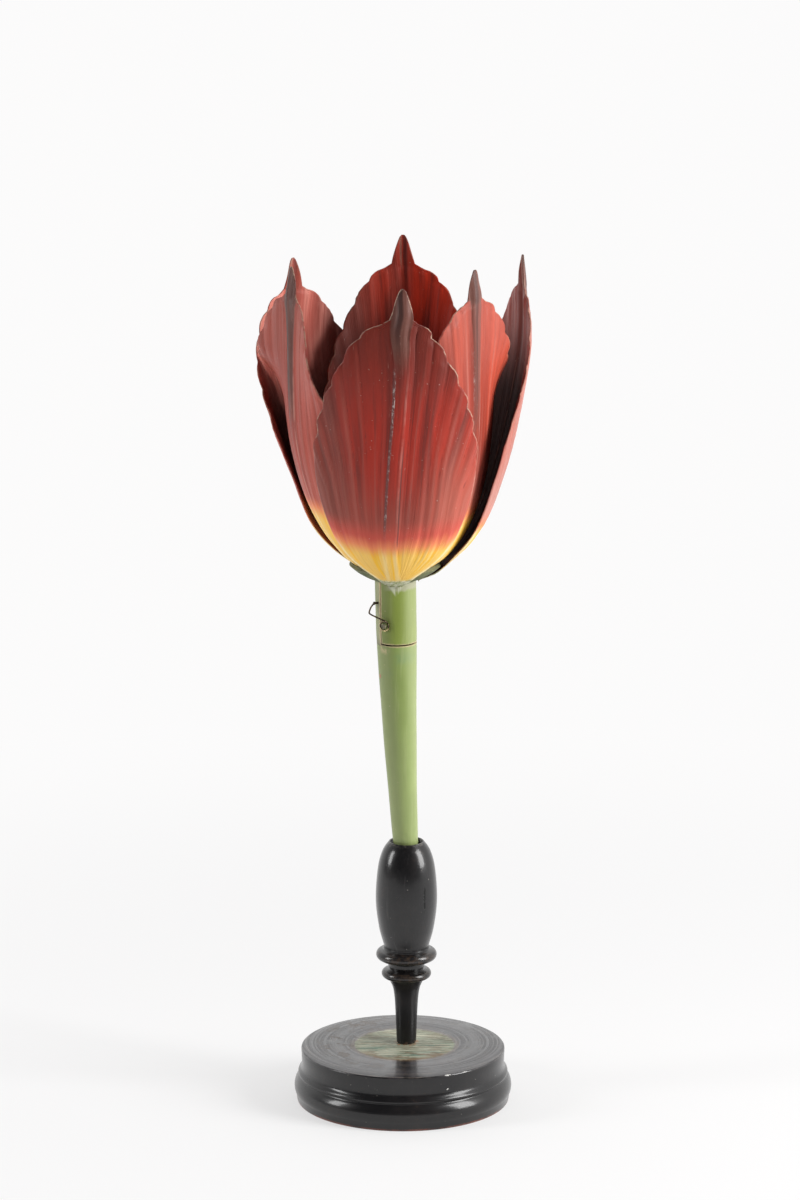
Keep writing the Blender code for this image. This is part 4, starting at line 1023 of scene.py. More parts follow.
def plain_wood():
    """Bare wood with fine fibres along the rod."""
    material, shader, where = new_material("plain_wood")
    fibres = noise(where, (700.0, 700.0, 40.0), 4.0, 0.6, 0.3)
    tone = noise(where, 90.0, 3.0, 0.5)
    dark_fibre, pale_patch = (0.30, 0.17, 0.075), (0.60, 0.43, 0.24)
    colour = paint(colours().wood, dark_fibre, rise(fibres, 0.45, 0.7))
    colour = paint(colour, pale_patch, rise(tone, 0.5, 0.7) * 0.5)
    give_all(shader, colour, 0.5 + fibres * 0.25, fibres, 0.0002)
    return material


def old_wire():
    """Brown brass wire, rubbed bright below the pivot."""
    material, shader, where = new_material("old_wire", metallic=1.0)
    tarnish = noise(where, 260.0, 3.0, 0.6)
    fine = noise(where, 1500.0, 3.0, 0.6)
    brown, dark_brown = (0.150, 0.108, 0.066), (0.060, 0.043, 0.030)
    colour = paint(brown, dark_brown, rise(tarnish, 0.34, 0.58))
    rubbed = rise(split(where)[2], LATCH_HEIGHT - 0.0004, LATCH_HEIGHT - 0.0016)
    colour = paint(colour, colours().wire, rubbed * rise(fine, 0.34, 0.55) * 0.9)
    give_all(shader, colour, 0.22 + tarnish * 0.30, fine, 0.00004)
    return material


def painted_nail():
    """Nail heads dabbed with the stem's paint."""
    material, shader, where = new_material("painted_nail", roughness=0.45)
    small = noise(where, 900.0, 3.0, 0.6)
    olive, bare_metal = (0.190, 0.180, 0.100), (0.075, 0.062, 0.038)
    give(shader, "Base Color", paint(olive, bare_metal, rise(small, 0.42, 0.62)))
    emboss(shader, small, 0.00012)
    return material


def flower_paint(name, main, second, scale, along, roughness=0.5):
    """Paint of stamens and pistil: two tones streaked lengthwise with a fine grain."""
    material, shader, where = new_material(name)
    streaks = noise(where, (scale, scale, along), 4.0, 0.65)
    grain = noise(where, 1400.0, 3.0, 0.6)
    colour = paint(main, second, rise(streaks, 0.40, 0.66))
    colour = paint(colour, second, rise(grain, 0.58, 0.72) * 0.5)
    give_all(shader, colour, roughness - 0.08 + grain * 0.2, streaks + grain * 0.5, 0.0002)
    return material


# Meshes


def facing(angle):
    return Vector((math.cos(angle), math.sin(angle), 0.0))


def angles_round(count):
    return [math.tau * step / count for step in range(count)]


def ease(low, high, value):
    """Rises smoothly from 0 at low to 1 at high."""
    part = np.clip((value - low) / (high - low), 0.0, 1.0)
    return part * part * (3.0 - 2.0 * part)


def smooth_line(points, per_span):
    """Points along a smooth curve through the given points (Catmull-Rom)."""
    padded = np.array([points[0], *points, points[-1]], float)
    line = []
    for p, q, r, s in zip(padded, padded[1:], padded[2:], padded[3:]):
        for step in range(per_span):
            t = step / per_span
            line.append(0.5 * (2 * q + (r - p) * t + (2 * p - 5 * q + 4 * r - s) * t ** 2
                               + (3 * q - p - 3 * r + s) * t ** 3))
    line.append(padded[-1])
    return np.array(line)


def arc_points(centre, radius, start, end, steps):
    angles = [math.radians(start + (end - start) * step / steps) for step in range(steps + 1)]
    return [(centre[0] + radius * math.cos(a), centre[1] + radius * math.sin(a)) for a in angles]


def add_piece(name, mesh_data, material, body, nodes, smooth_below=TURNED_SMOOTH):
    """Makes a piece from a bmesh: it rides on a body, has its slot's finish and stands for the nodes."""
    bmesh.ops.recalc_face_normals(mesh_data, faces=mesh_data.faces)
    mesh = bpy.data.meshes.new(name)
    mesh_data.to_mesh(mesh)
    mesh_data.free()
    mesh.shade_smooth()
    mesh.set_sharp_from_angle(angle=math.radians(smooth_below))
    mesh.materials.append(material)
    piece = bpy.data.objects.new(name, mesh)
    bpy.context.scene.collection.objects.link(piece)
    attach(piece, body)
    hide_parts(*nodes)


def skin_rings(rings):
    """Closes a stack of rings of points into a solid; a ring of one point is a pole."""
    mesh_data = bmesh.new()
    made = [[mesh_data.verts.new(point) for point in ring] for ring in rings]
    for low, high in zip(made, made[1:]):
        count = max(len(low), len(high))
        for step in range(count):
            after = (step + 1) % count
            corners = [low[step % len(low)]]
            if len(low) > 1:
                corners.append(low[after])
            if len(high) > 1:
                corners.append(high[after])
            corners.append(high[step % len(high)])
            mesh_data.faces.new(corners)
    for end in (made[0], made[-1]):
        if len(end) > 1:
            mesh_data.faces.new(end)
    return mesh_data


def turn_profile(profile, steps, centre=(0.0, 0.0)):
    """A turned solid from (radius, height) points; a radius of zero is a pole on the axis."""
    rings = []
    angles = angles_round(steps)
    for radius, height in profile:
        if radius == 0.0:
            rings.append([(*centre, height)])
            continue
        rings.append([
            (centre[0] + radius * math.cos(a), centre[1] + radius * math.sin(a), height)
            for a in angles
        ])
    return skin_rings(rings)


def cut_away(mesh_data, cutter, operation):
    """Applies an exact boolean to a bmesh and returns the result as a new bmesh."""
    made = []
    for index, source in enumerate((mesh_data, cutter)):
        bmesh.ops.recalc_face_normals(source, faces=source.faces)
        mesh = bpy.data.meshes.new(f"raw_{index}")
        source.to_mesh(mesh)
        source.free()
        item = bpy.data.objects.new(f"raw_{index}", mesh)
        bpy.context.scene.collection.objects.link(item)
        made.append(item)
    boolean = made[0].modifiers.new("cut", "BOOLEAN")
    boolean.solver = "EXACT"
    boolean.operation = operation
    boolean.object = made[1]
    view = bpy.context.evaluated_depsgraph_get()
    result = bmesh.new()
    result.from_mesh(made[0].evaluated_get(view).to_mesh())
    for item in made:
        mesh = item.data
        bpy.data.objects.remove(item, do_unlink=True)
        bpy.data.meshes.remove(mesh)
    if not result.faces:
        raise RuntimeError("a cut left nothing of a piece")
    return result


def soften_edges(mesh_data):
    """Rounds a bmesh's sharp edges a little, as paint and wear do."""
    bmesh.ops.remove_doubles(mesh_data, verts=mesh_data.verts, dist=MERGE_DISTANCE)
    bmesh.ops.recalc_face_normals(mesh_data, faces=mesh_data.faces)
    sharp = [
        edge for edge in mesh_data.edges
        if len(edge.link_faces) == 2 and edge.calc_face_angle(0.0) > SHARP_ANGLE
    ]
    bmesh.ops.bevel(
        mesh_data, geom=sharp, offset=SOFT_EDGE, offset_type="OFFSET", segments=2, profile=0.5,
        affect="EDGES", clamp_overlap=True)


# Stand


def base_profile():
    """The base from its underside up: rounded foot, bead, crease, fillet line, cove and slab."""
    profile = [(0.0, 0.0), (BASE_FOOT_RADIUS - BASE_EDGE, 0.0)]
    profile += arc_points((BASE_FOOT_RADIUS - BASE_EDGE, BASE_EDGE), BASE_EDGE, -80, -10, 4)
    for out, up in arc_points((0.0, 0.0), 1.0, -30, 48, 18):
        profile.append((BEAD_RADIUS - BEAD_BULGE * (1.0 - out), BEAD_HEIGHT * (1.0 + up)))
    profile += BASE_CREASE + arc_points(FILLET_CENTRE, FILLET_RADIUS, -44, 50, 6) + BASE_COVE
    profile += arc_points((SLAB_RADIUS - BASE_EDGE, BASE_HEIGHT - BASE_EDGE), BASE_EDGE, 4, 86, 5)
    return profile + [(radius, BASE_HEIGHT) for radius in BASE_TOP_RADII]


def ring_profile(ring):
    """A turned ring with a round edge, a little thicker where it meets the post."""
    half = 0.5 * ring.thickness
    root = [(ring.inner + past, share * half) for past, share in RING_ROOT]
    points = [(radius, ring.height - reach) for radius, reach in root]
    points += arc_points((ring.radius - half, ring.height), half, -76, 76, 14)
    return points + [(radius, ring.height + reach) for radius, reach in reversed(root)]


def bulb_line():
    """The bulb from its foot to the rim of the socket, through its widest place."""
    swell, climb = BULB_RADIUS - BULB_FOOT_RADIUS, BULB_HEIGHT - BULB_FOOT
    narrowing, height = BULB_RADIUS - POST_RIM_RADIUS, POST_HEIGHT - BULB_HEIGHT
    points = [(BULB_FOOT_RADIUS, BULB_FOOT - BULB_FOOT_DEPTH), (BULB_FOOT_RADIUS, BULB_FOOT)]
    points.append((BULB_FOOT_RADIUS + swell * BULB_SWELLING[0], BULB_FOOT + climb * BULB_SWELLING[1]))
    points.append((BULB_RADIUS, BULB_HEIGHT))
    points += [(POST_RIM_RADIUS + narrowing * a, BULB_HEIGHT + height * b) for a, b in BULB_NARROWING]
    points.append((POST_RIM_RADIUS, POST_HEIGHT))
    return [tuple(point) for point in smooth_line(points, 8)]


def post_profile():
    """The post from the base up, then down into the socket and the dowel's bore."""
    foot = BASE_HEIGHT + GAP
    profile = [(0.0, foot), (POST_FOOT_RADIUS, foot), (NECK_RADIUS, foot + 0.0004)]
    for step in range(1, NECK_STEPS + 1):
        share = step / NECK_STEPS
        radius = NECK_RADIUS + NECK_TAPER * share + NECK_FLARE * share ** 8
        profile.append((radius, foot + (NECK_TOP - foot) * share))
    profile += UNDER_RINGS + ring_profile(LOWER_RING) + BETWEEN_RINGS + ring_profile(UPPER_RING) + bulb_line()
    floor = POST_HEIGHT - SOCKET_DEPTH
    profile += [(SOCKET_RADIUS + 0.0004, POST_HEIGHT + 0.0001), (SOCKET_RADIUS, POST_HEIGHT - 0.0004)]
    profile += [(SOCKET_RADIUS, floor), (DOWEL_BORE_RADIUS, floor)]
    return profile + [(radius, floor - DOWEL_BORE_DEPTH) for radius in (DOWEL_BORE_RADIUS, 0.0)]


class TULIP_OT_base(bpy.types.Operator):
    """Add the turned black base"""

    bl_idname = "tulip.base"
    bl_label = "Turned base"

    def execute(self, context):
        mesh_data = turn_profile(base_profile(), sizes().turning_steps)
        add_piece("turned_base", mesh_data, base_black(), "stand", ["base"])
        return {"FINISHED"}


class TULIP_OT_post(bpy.types.Operator):
    """Add the turned black post with its socket"""

    bl_idname = "tulip.post"
    bl_label = "Turned post"

    def execute(self, context):
        mesh_data = turn_profile(post_profile(), sizes().turning_steps, (POST_X, POST_Y))
        add_piece("turned_post", mesh_data, post_black(), "stand", ["post"])
        return {"FINISHED"}


# Stem and receptacle


def stem_centre(height):
    share = (STEM_TOP - height) / (STEM_TOP - STEM_FOOT.z)
    bend = (1.0 - STEM_BEND) * share + STEM_BEND * share ** 2
    return FLOWER.x + (STEM_FOOT.x - FLOWER.x) * bend, FLOWER.y + (STEM_FOOT.y - FLOWER.y) * bend


def stem_radius(height):
    share = (height - STEM_FOOT.z) / (STEM_SWELL_HEIGHT - STEM_FOOT.z)
    return STEM_FOOT_RADIUS + (STEM_RADIUS - STEM_FOOT_RADIUS) * min(1.0, share)


def surface_point(angle, height, above=0.0):
    x, y = stem_centre(height)
    return Vector((x, y, height)) + facing(angle) * (stem_radius(height) + above)


def whole_stem():
    """The stem as one rod with the slight unevenness of a hand-made surface."""
    rings = []
    for level in range(STEM_LEVELS + 1):
        height = STEM_FOOT.z + (STEM_TOP - STEM_FOOT.z) * level / STEM_LEVELS
        x, y = stem_centre(height)
        ring = []
        for angle in angles_round(STEM_SIDES):
            uneven = math.sin(3 * angle + 40 * height) * math.sin(95 * height + angle) - 1.0
            radius = stem_radius(height) + SURFACE_UNEVENNESS * uneven
            ring.append((x + radius * math.cos(angle), y + radius * math.sin(angle), height))
        rings.append(ring)
    return skin_rings(rings)


def front_block(inset, bottom, top, notch=0.0):
    """A block on the front side of the seam's plane, with a round notch about the flower's axis."""
    outline = [(-BLOCK_REACH, inset)]
    if notch:
        start = math.asin(inset / notch)
        for step in range(NOTCH_STEPS + 1):
            angle = math.pi - start - (math.pi - 2 * start) * step / NOTCH_STEPS
            outline.append((notch * math.cos(angle), notch * math.sin(angle)))
    outline += [(BLOCK_REACH, inset), (BLOCK_REACH, BLOCK_REACH), (-BLOCK_REACH, BLOCK_REACH)]
    forward = facing(SEAM_FACING)
    sideways = facing(SEAM_FACING + math.pi / 2)
    rings = []
    for height in (bottom, top):
        rings.append([FLOWER + sideways * a + forward * b + Vector((0, 0, height)) for a, b in outline])
    return skin_rings(rings)


def dish_line(offset, per_span=3):
    """The dish's outside in (radius, height), moved by offset along its normal, up and inward."""
    line = smooth_line(DISH_OUTSIDE, per_span)
    moved = []
    for index, (radius, height) in enumerate(line):
        before = line[max(0, index - 1)]
        after = line[min(len(line) - 1, index + 1)]
        run, climb = after - before
        length = math.hypot(run, climb)
        moved.append((radius - offset * climb / length, height + offset * run / length))
    return moved


def dish_floor():
    line = dish_line(DISH_THICKNESS)
    return float(np.interp(DISH_FLOOR_RADIUS, [p[0] for p in line], [p[1] for p in line]))


def whole_dish():
    foot = STEM_TOP + GAP
    outside = [(radius, foot + height) for radius, height in smooth_line(DISH_OUTSIDE, 8)]
    inside = [
        (radius, foot + height)
        for radius, height in dish_line(DISH_THICKNESS, 8) if radius > DISH_FLOOR_RADIUS
    ]
    floor = foot + dish_floor()
    profile = [(0.0, foot)] + outside + inside[::-1] + [(DISH_FLOOR_RADIUS, floor), (0.0, floor)]
    return turn_profile(profile, DISH_SIDES, (FLOWER.x, FLOWER.y))


class TULIP_OT_stem(bpy.types.Operator):
    """Add the stem, its removable half and the two halves of the receptacle"""

    bl_idname = "tulip.stem"
    bl_label = "Stem and receptacle"

    def execute(self, context):
        green = green_paint()
        opening = front_block(0.0, CUT_HEIGHT, STEM_TOP + OVERSHOOT)
        lower = cut_away(whole_stem(), opening, "DIFFERENCE")
        soften_edges(lower)
        add_piece("green_stem", lower, green, "flower_fixed", ["stem"], STEM_SMOOTH)
        block = front_block(SEAM_GAP, CUT_HEIGHT + CUT_GAP, STEM_TOP + OVERSHOOT)
        half = cut_away(whole_stem(), block, "INTERSECT")
        soften_edges(half)
        add_piece("green_stem_half", half, green, "flower_front", ["stem_front_half"],
                  STEM_SMOOTH)
        dish = dish_paint()
        top, bottom = STEM_TOP + 3 * OVERSHOOT, STEM_TOP - OVERSHOOT
        back = cut_away(whole_dish(), front_block(0.0, bottom, top, PISTIL_SEAT_RADIUS), "DIFFERENCE")
        add_piece("green_dish_back", back, dish, "flower_fixed", ["receptacle_back"],
                  STEM_SMOOTH)
        keep = front_block(SEAM_GAP, bottom, top, PISTIL_SEAT_RADIUS + 2 * SEAM_GAP)
        front = cut_away(whole_dish(), keep, "INTERSECT")
        add_piece("green_dish_front", front, dish, "flower_front", ["receptacle_front"],
                  STEM_SMOOTH)
        return {"FINISHED"}


class TULIP_OT_wood(bpy.types.Operator):
    """Finish the dowel and the locating pegs in plain wood"""

    bl_idname = "tulip.wood"
    bl_label = "Dowel and pegs"

    def execute(self, context):
        material = plain_wood()
        for name in ("stem_dowel", "locating_peg_lower", "locating_peg_upper"):
            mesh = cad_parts[name].data
            mesh.materials.clear()
            mesh.materials.append(material)
        return {"FINISHED"}


# Hook


def tube(line, radius):
    """A round wire along a line of points, with blunt rounded ends."""
    line = [Vector(point) for point in line]
    rings = []
    tangents = []
    for index in range(len(line)):
        tangents.append((line[min(index + 1, len(line) - 1)] - line[max(index - 1, 0)]).normalized())
    normal = tangents[0].orthogonal().normalized()
    for index, (point, tangent) in enumerate(zip(line, tangents)):
        normal = (normal - tangent * normal.dot(tangent)).normalized()
        other = tangent.cross(normal)
        stations = [(point, radius)]
        end = tangent * radius * WIRE_END_LENGTH
        if index == 0:
            stations.insert(0, (point - end, radius * WIRE_END_WIDTH))
        if index == len(line) - 1:
            stations.append((point + end, radius * WIRE_END_WIDTH))
        for centre, size in stations:
            rings.append([
                centre + size * (normal * math.cos(a) + other * math.sin(a))
                for a in angles_round(WIRE_SIDES)
            ])
    return skin_rings(rings)


def hook_line():
    out = facing(LATCH_FACING)
    left = facing(LATCH_FACING - math.pi / 2)
    up = Vector((0.0, 0.0, 1.0))
    pivot = surface_point(LATCH_FACING, LATCH_HEIGHT, HOOK_STANDOFF + WIRE_RADIUS)
    line = []
    for step in range(RING_STEPS + 1):
        angle = math.radians(RING_START + (RING_END - RING_START) * step / RING_STEPS)
        line.append(pivot + HOOK_RING_RADIUS * (up * math.sin(angle) - left * math.cos(angle)))
    bow = surface_point(BOW_FACING, LATCH_HEIGHT + BOW_RISE, BOW_REACH)
    end = surface_point(HOOK_END_FACING, CATCH_HEIGHT, WIRE_RADIUS + HOOK_END_REACH)
    way = [line[-1]]
    way += [pivot + left * across + up * lift + out * reach for across, lift, reach in HOOK_NECK]
    away = facing(BOW_FACING)
    way += [bow.lerp(end, share) + up * lift + away * reach for share, lift, reach in HOOK_BOW]
    return line + [Vector(point) for point in smooth_line([tuple(point) for point in way], 12)[1:]]


def nail(angle, height, radius, head_radius, reach):
    start = surface_point(angle, height, -PIN_DEPTH)
    turn = facing(angle).to_track_quat("Z", "Y").to_matrix()
    depth = PIN_DEPTH + reach
    top = depth + NAIL_HEAD_THICKNESS
    profile = [(0.0, 0.0), (radius, 0.0), (radius, depth), (head_radius * 0.92, depth)]
    profile += arc_points((head_radius * 0.7, depth + 0.3 * (top - depth)), 0.3 * head_radius, -50, 60, 6)
    profile += [(0.5 * head_radius, top - 0.00005), (0.0, top)]
    mesh_data = turn_profile(profile, NAIL_SIDES)
    bmesh.ops.transform(mesh_data, matrix=Matrix.Translation(start) @ turn.to_4x4(), verts=mesh_data.verts)
    return mesh_data


class TULIP_OT_latch(bpy.types.Operator):
    """Add the wire hook and its two nails"""

    bl_idname = "tulip.latch"
    bl_label = "Wire hook"

    def execute(self, context):
        metal = old_wire()
        hook = tube(hook_line(), WIRE_RADIUS)
        add_piece("wire_hook", hook, metal, "latch", ["latch_hook"], SMALL_SMOOTH)
        reach = HOOK_STANDOFF + 2 * WIRE_RADIUS + GAP
        pivot = nail(LATCH_FACING, LATCH_HEIGHT, PIN_RADIUS, PIN_HEAD_RADIUS, reach)
        add_piece("hook_nail", pivot, painted_nail(), "flower_front", ["latch_pin"], SMALL_SMOOTH)
        catch = nail(CATCH_FACING, CATCH_HEIGHT, CATCH_RADIUS, CATCH_HEAD_RADIUS, CATCH_REACH)
        add_piece("catch_nail", catch, metal, "flower_fixed", ["catch_pin"], SMALL_SMOOTH)
        return {"FINISHED"}


# Petals


def whorl_line(whorl):
    """The midrib of a whorl's petals as rows of (share of the length, radius, height)."""
    clear = TEPAL_CLEARANCE + 0.5 * TEPAL_THICKNESS
    if whorl == "outer":
        claw = [(STEM_RADIUS + clear, -CLAW_LENGTH), (STEM_RADIUS + clear + CLAW_FLARE, -CLAW_FLARE)]
        points = claw + dish_line(-clear)[5::3] + OUTER_PROFILE
    else:
        on_dish = dish_line(DISH_THICKNESS + clear)
        points = [point for point in on_dish[::3] if point[0] > DISH_FLOOR_RADIUS] + INNER_PROFILE
    line = smooth_line(points, 8)
    lengths = np.concatenate([[0.0], np.cumsum(np.hypot(*np.diff(line, axis=0).T))])
    return np.column_stack([lengths / lengths[-1], line]), lengths[-1]


SMOOTH_OUTLINE = smooth_line(OUTLINE, 6)


def plain_half_width(share):
    up = np.clip((share - CUSP_START) / (1.0 - CUSP_START), 0.0, 1.0)
    cusp = CUSP_TIP_HALF_WIDTH + (CUSP_HALF_WIDTH - CUSP_TIP_HALF_WIDTH) * (1.0 - up) ** CUSP_ROUNDING
    return np.where(share >= CUSP_START, cusp, np.interp(share, SMOOTH_OUTLINE[:, 0], SMOOTH_OUTLINE[:, 1]))


def fan_width(share):
    """Half width of the fan of veins, which spreads past the outline above the widest place."""
    up = np.clip((share - WIDEST_SHARE) / (1.0 - WIDEST_SHARE), 0.0, 1.0)
    widest = plain_half_width(np.array([WIDEST_SHARE]))[0]
    return np.where(share <= WIDEST_SHARE, plain_half_width(share), widest * (1.0 + FAN_SPREAD * up))


def wave(seed, count, value):
    """A random curve with the given number of knots over -1.5 to 1.5, the same in each run, from -1 to 1."""
    knots = np.random.RandomState(seed).uniform(-1.0, 1.0, count)
    at = np.clip((np.asarray(value, float) + 1.5) / 3.0, 0.0, 0.9999) * (count - 1)
    low = at.astype(int)
    part = at - low
    part = part * part * (3.0 - 2.0 * part)
    return knots[low] * (1.0 - part) + knots[low + 1] * part


def fan_at_edge():
    """Where the veins reach the petal's edge: their place in the fan, and the place that sets the scallops."""
    share = np.linspace(CUSP_START, WIDEST_SHARE, 60)
    width = plain_half_width(share)
    in_fan = [0.0, *(width / fan_spread(share, width)), 1.25]
    for_scallops = [0.0, *(width / fan_width(share)), 1.68]
    return in_fan, for_scallops


def fan_spread(share, side):
    widths = np.array(FAN)
    return np.interp(share + FAN_BEND * side ** 2, widths[:, 0], widths[:, 1])


def vein_fan(side, share):
    """Place in the fan of veins: 0 on the midrib and 1 for the vein that ends at the petal's widest place."""
    raw = side / fan_spread(share, side)
    return np.sign(raw) * np.interp(np.abs(raw), *fan_at_edge())


def rib_half_width(share):
    widths = np.array(MIDRIB)
    return np.interp(share, widths[:, 0], widths[:, 1])


def petal_width(share, side_sign, petal):
    """Half width with scallops and small irregularities of the edge."""
    plain = plain_half_width(share)
    lobe = np.abs(np.sin(math.pi * SCALLOPS * plain / fan_width(share)))
    number = petal.seed * 7 + (1 if side_sign > 0 else 2)
    rough = EDGE_ROUGHNESS * wave(number, 170, share * 2.0 - 1.0)
    depth = SCALLOP_DEPTH * (1.0 + SCALLOP_VARIATION * wave(number + 50, 24, share * 2.0 - 1.0))
    edged = plain + depth * (lobe - 0.5) + rough
    above = ease(WIDEST_SHARE - 0.02, WIDEST_SHARE + 0.03, share)
    scalloped = plain * (1.0 - above) + edged * above
    return np.where(share >= CUSP_START, plain, scalloped)


def petal_grids(petal, columns):
    """Middle surface of a petal, and at each point its share of the length, its place in the fan of veins,
    its distance from the midrib in half widths of the rib, and its distance from the edge."""
    line, length = whorl_line(petal.whorl)
    below = WIDEST_SHARE * (np.arange(PETAL_ROWS_BELOW) / PETAL_ROWS_BELOW) ** ROW_CROWDING
    above = WIDEST_SHARE + (1.0 - WIDEST_SHARE) * np.arange(PETAL_ROWS_ABOVE) / (PETAL_ROWS_ABOVE - 1)
    share = np.concatenate([below, above])[:, None]
    raw = np.linspace(-1.0, 1.0, columns)[None, :]
    across = (1.0 - COLUMN_CROWDING) * raw + COLUMN_CROWDING * raw ** 3
    radius = np.interp(share, line[:, 0], line[:, 1]) + petal.push * ease(*PUSH_SHARES, share)
    radius = radius + petal.tip_push * ease(*TIP_PUSH_SHARES, share)
    height = np.interp(share, line[:, 0], line[:, 2])
    height = height * (1.0 + (petal.size - 1.0) * ease(*PUSH_SHARES, share))
    sway = petal.sway * np.sin(math.pi * np.minimum(1.0, share / SWAY_END))
    width = np.where(across > 0.0, petal_width(share, 1, petal), petal_width(share, -1, petal))
    side = across * width + sway * (1.0 - across ** 2)

    high = across > 0.0
    top = np.where(high, ease(petal.high_half.start, petal.high_half.end, share),
                   ease(petal.low_half.start, petal.low_half.end, share))
    own = np.where(high, petal.high_half.bend, petal.low_half.bend)
    curl = ((1.0 + (petal.bend - 1.0) * ease(*BEND_SHARES, share)) * (1.0 - top) + own * top) / radius
    curl = np.where(np.abs(curl) < FLAT_CURL, FLAT_CURL, curl)
    sideways = np.sin(side * curl) / curl
    inward = (1.0 - np.cos(side * curl)) / curl
    from_rib = side - sway
    shift = np.interp(share, *smooth_line(RIB_SHIFTS.get(petal.node, NO_SHIFT), 8).T)
    from_keel = from_rib - shift
    crest = np.clip(1.0 - np.abs(from_keel) / KEEL_HALF_WIDTH, 0.0, 1.0)
    crest = 0.5 * crest + 0.5 * ease(0.30, 0.80, crest)
    keel = KEEL_HEIGHT * (0.25 + 0.75 * share ** 2) * ease(*KEEL_SHARES, share) * crest
    turn = np.radians(petal.twist) * top
    outward = -inward * np.cos(turn) - sideways * np.sin(turn)
    sideways = -inward * np.sin(turn) + sideways * np.cos(turn)
    sideways = sideways + petal.lean * ease(*LEAN_SHARES, share)
    sideways = sideways + petal.tip_lean * ease(*TIP_LEAN_SHARES, share)
    out = np.array(facing(math.radians(petal.azimuth)))
    along = np.array(facing(math.radians(petal.azimuth + 90)))
    middle = (radius + keel + outward)[..., None] * out + sideways[..., None] * along
    middle = middle + np.array([FLOWER.x, FLOWER.y, STEM_TOP])
    middle[..., 2] += height

    slope = np.gradient(plain_half_width(share[:, 0]), share[:, 0] * length)[:, None]
    rim = (1.0 - np.abs(across)) * width / np.sqrt(1.0 + np.clip(slope, -STEEPEST_EDGE, STEEPEST_EDGE) ** 2)
    rim = np.minimum(rim, (1.0 - share) * length)
    fan = vein_fan(from_rib - shift * np.clip(1.0 - np.abs(from_rib) / VEINS_FOLLOW, 0.0, 1.0), share)
    rib = from_keel / (RIB_WIDTHS.get(petal.node, 1.0) * rib_half_width(share))
    return middle, share, fan, rib, rim


def petal_relief(petal, share, fan, rib, rim):
    """Creases (0 in a crease, 1 between), raised veins (0 to 1), fine ribs and the lines beside the midrib."""
    drift = VEIN_WANDER * wave(petal.seed, 60, fan)
    off_rib = ease(1.0, 1.6, np.abs(rib))
    crease = 1.0 - (1.0 - np.abs(np.sin(math.pi * SCALLOPS * (fan + drift))) ** 0.5) * off_rib
    vein = np.zeros_like(fan)
    random = np.random.RandomState(petal.seed * 3)
    for sign in (-1.0, 1.0):
        at = FIRST_VEIN
        while at < LAST_VEIN:
            strength, start, end, wide = random.uniform(LEAST_VEIN, MOST_VEIN)
            from_vein = (fan - sign * (at + VEIN_WANDER * np.sin(5.0 * share + 40.0 * at))) * VEIN_SHARPNESS
            one = strength * np.exp(-(from_vein / wide) ** 2) * ease(start, start + 0.12, share)
            vein = np.maximum(vein, one * ease(end, end - 0.30, share))
            at += random.uniform(*VEIN_GAPS)
    vein = vein * off_rib
    fine = 0.6 * wave(petal.seed + 1, 110, fan) + 0.4 * wave(petal.seed + 2, 220, fan + 0.004 * share)
    fine = fine * off_rib
    panel = wave(petal.seed + 4, 30, fan + 0.03 * np.sin(4.0 * share)) * off_rib
    reach = ease(0.06, 0.20, share) * ease(1.0, 0.90, share)
    groove = (np.exp(-((rib + 1.0) / 0.17) ** 2) - 0.9 * np.exp(-((rib - 1.0) / 0.20) ** 2)) * reach
    return crease, vein, fine, panel, groove


def normals_of(grid):
    over = np.gradient(grid, axis=1)
    up = np.gradient(grid, axis=0)
    normal = np.cross(over, up)
    return normal / np.maximum(np.linalg.norm(normal, axis=-1, keepdims=True), 1e-12)


def border(rows, columns):
    """Indices of a grid's border, once round."""
    path = [(row, 0) for row in range(rows)] + [(rows - 1, column) for column in range(1, columns)]
    path += [(row, columns - 1) for row in range(rows - 2, -1, -1)]
    return path + [(0, column) for column in range(columns - 2, 0, -1)]


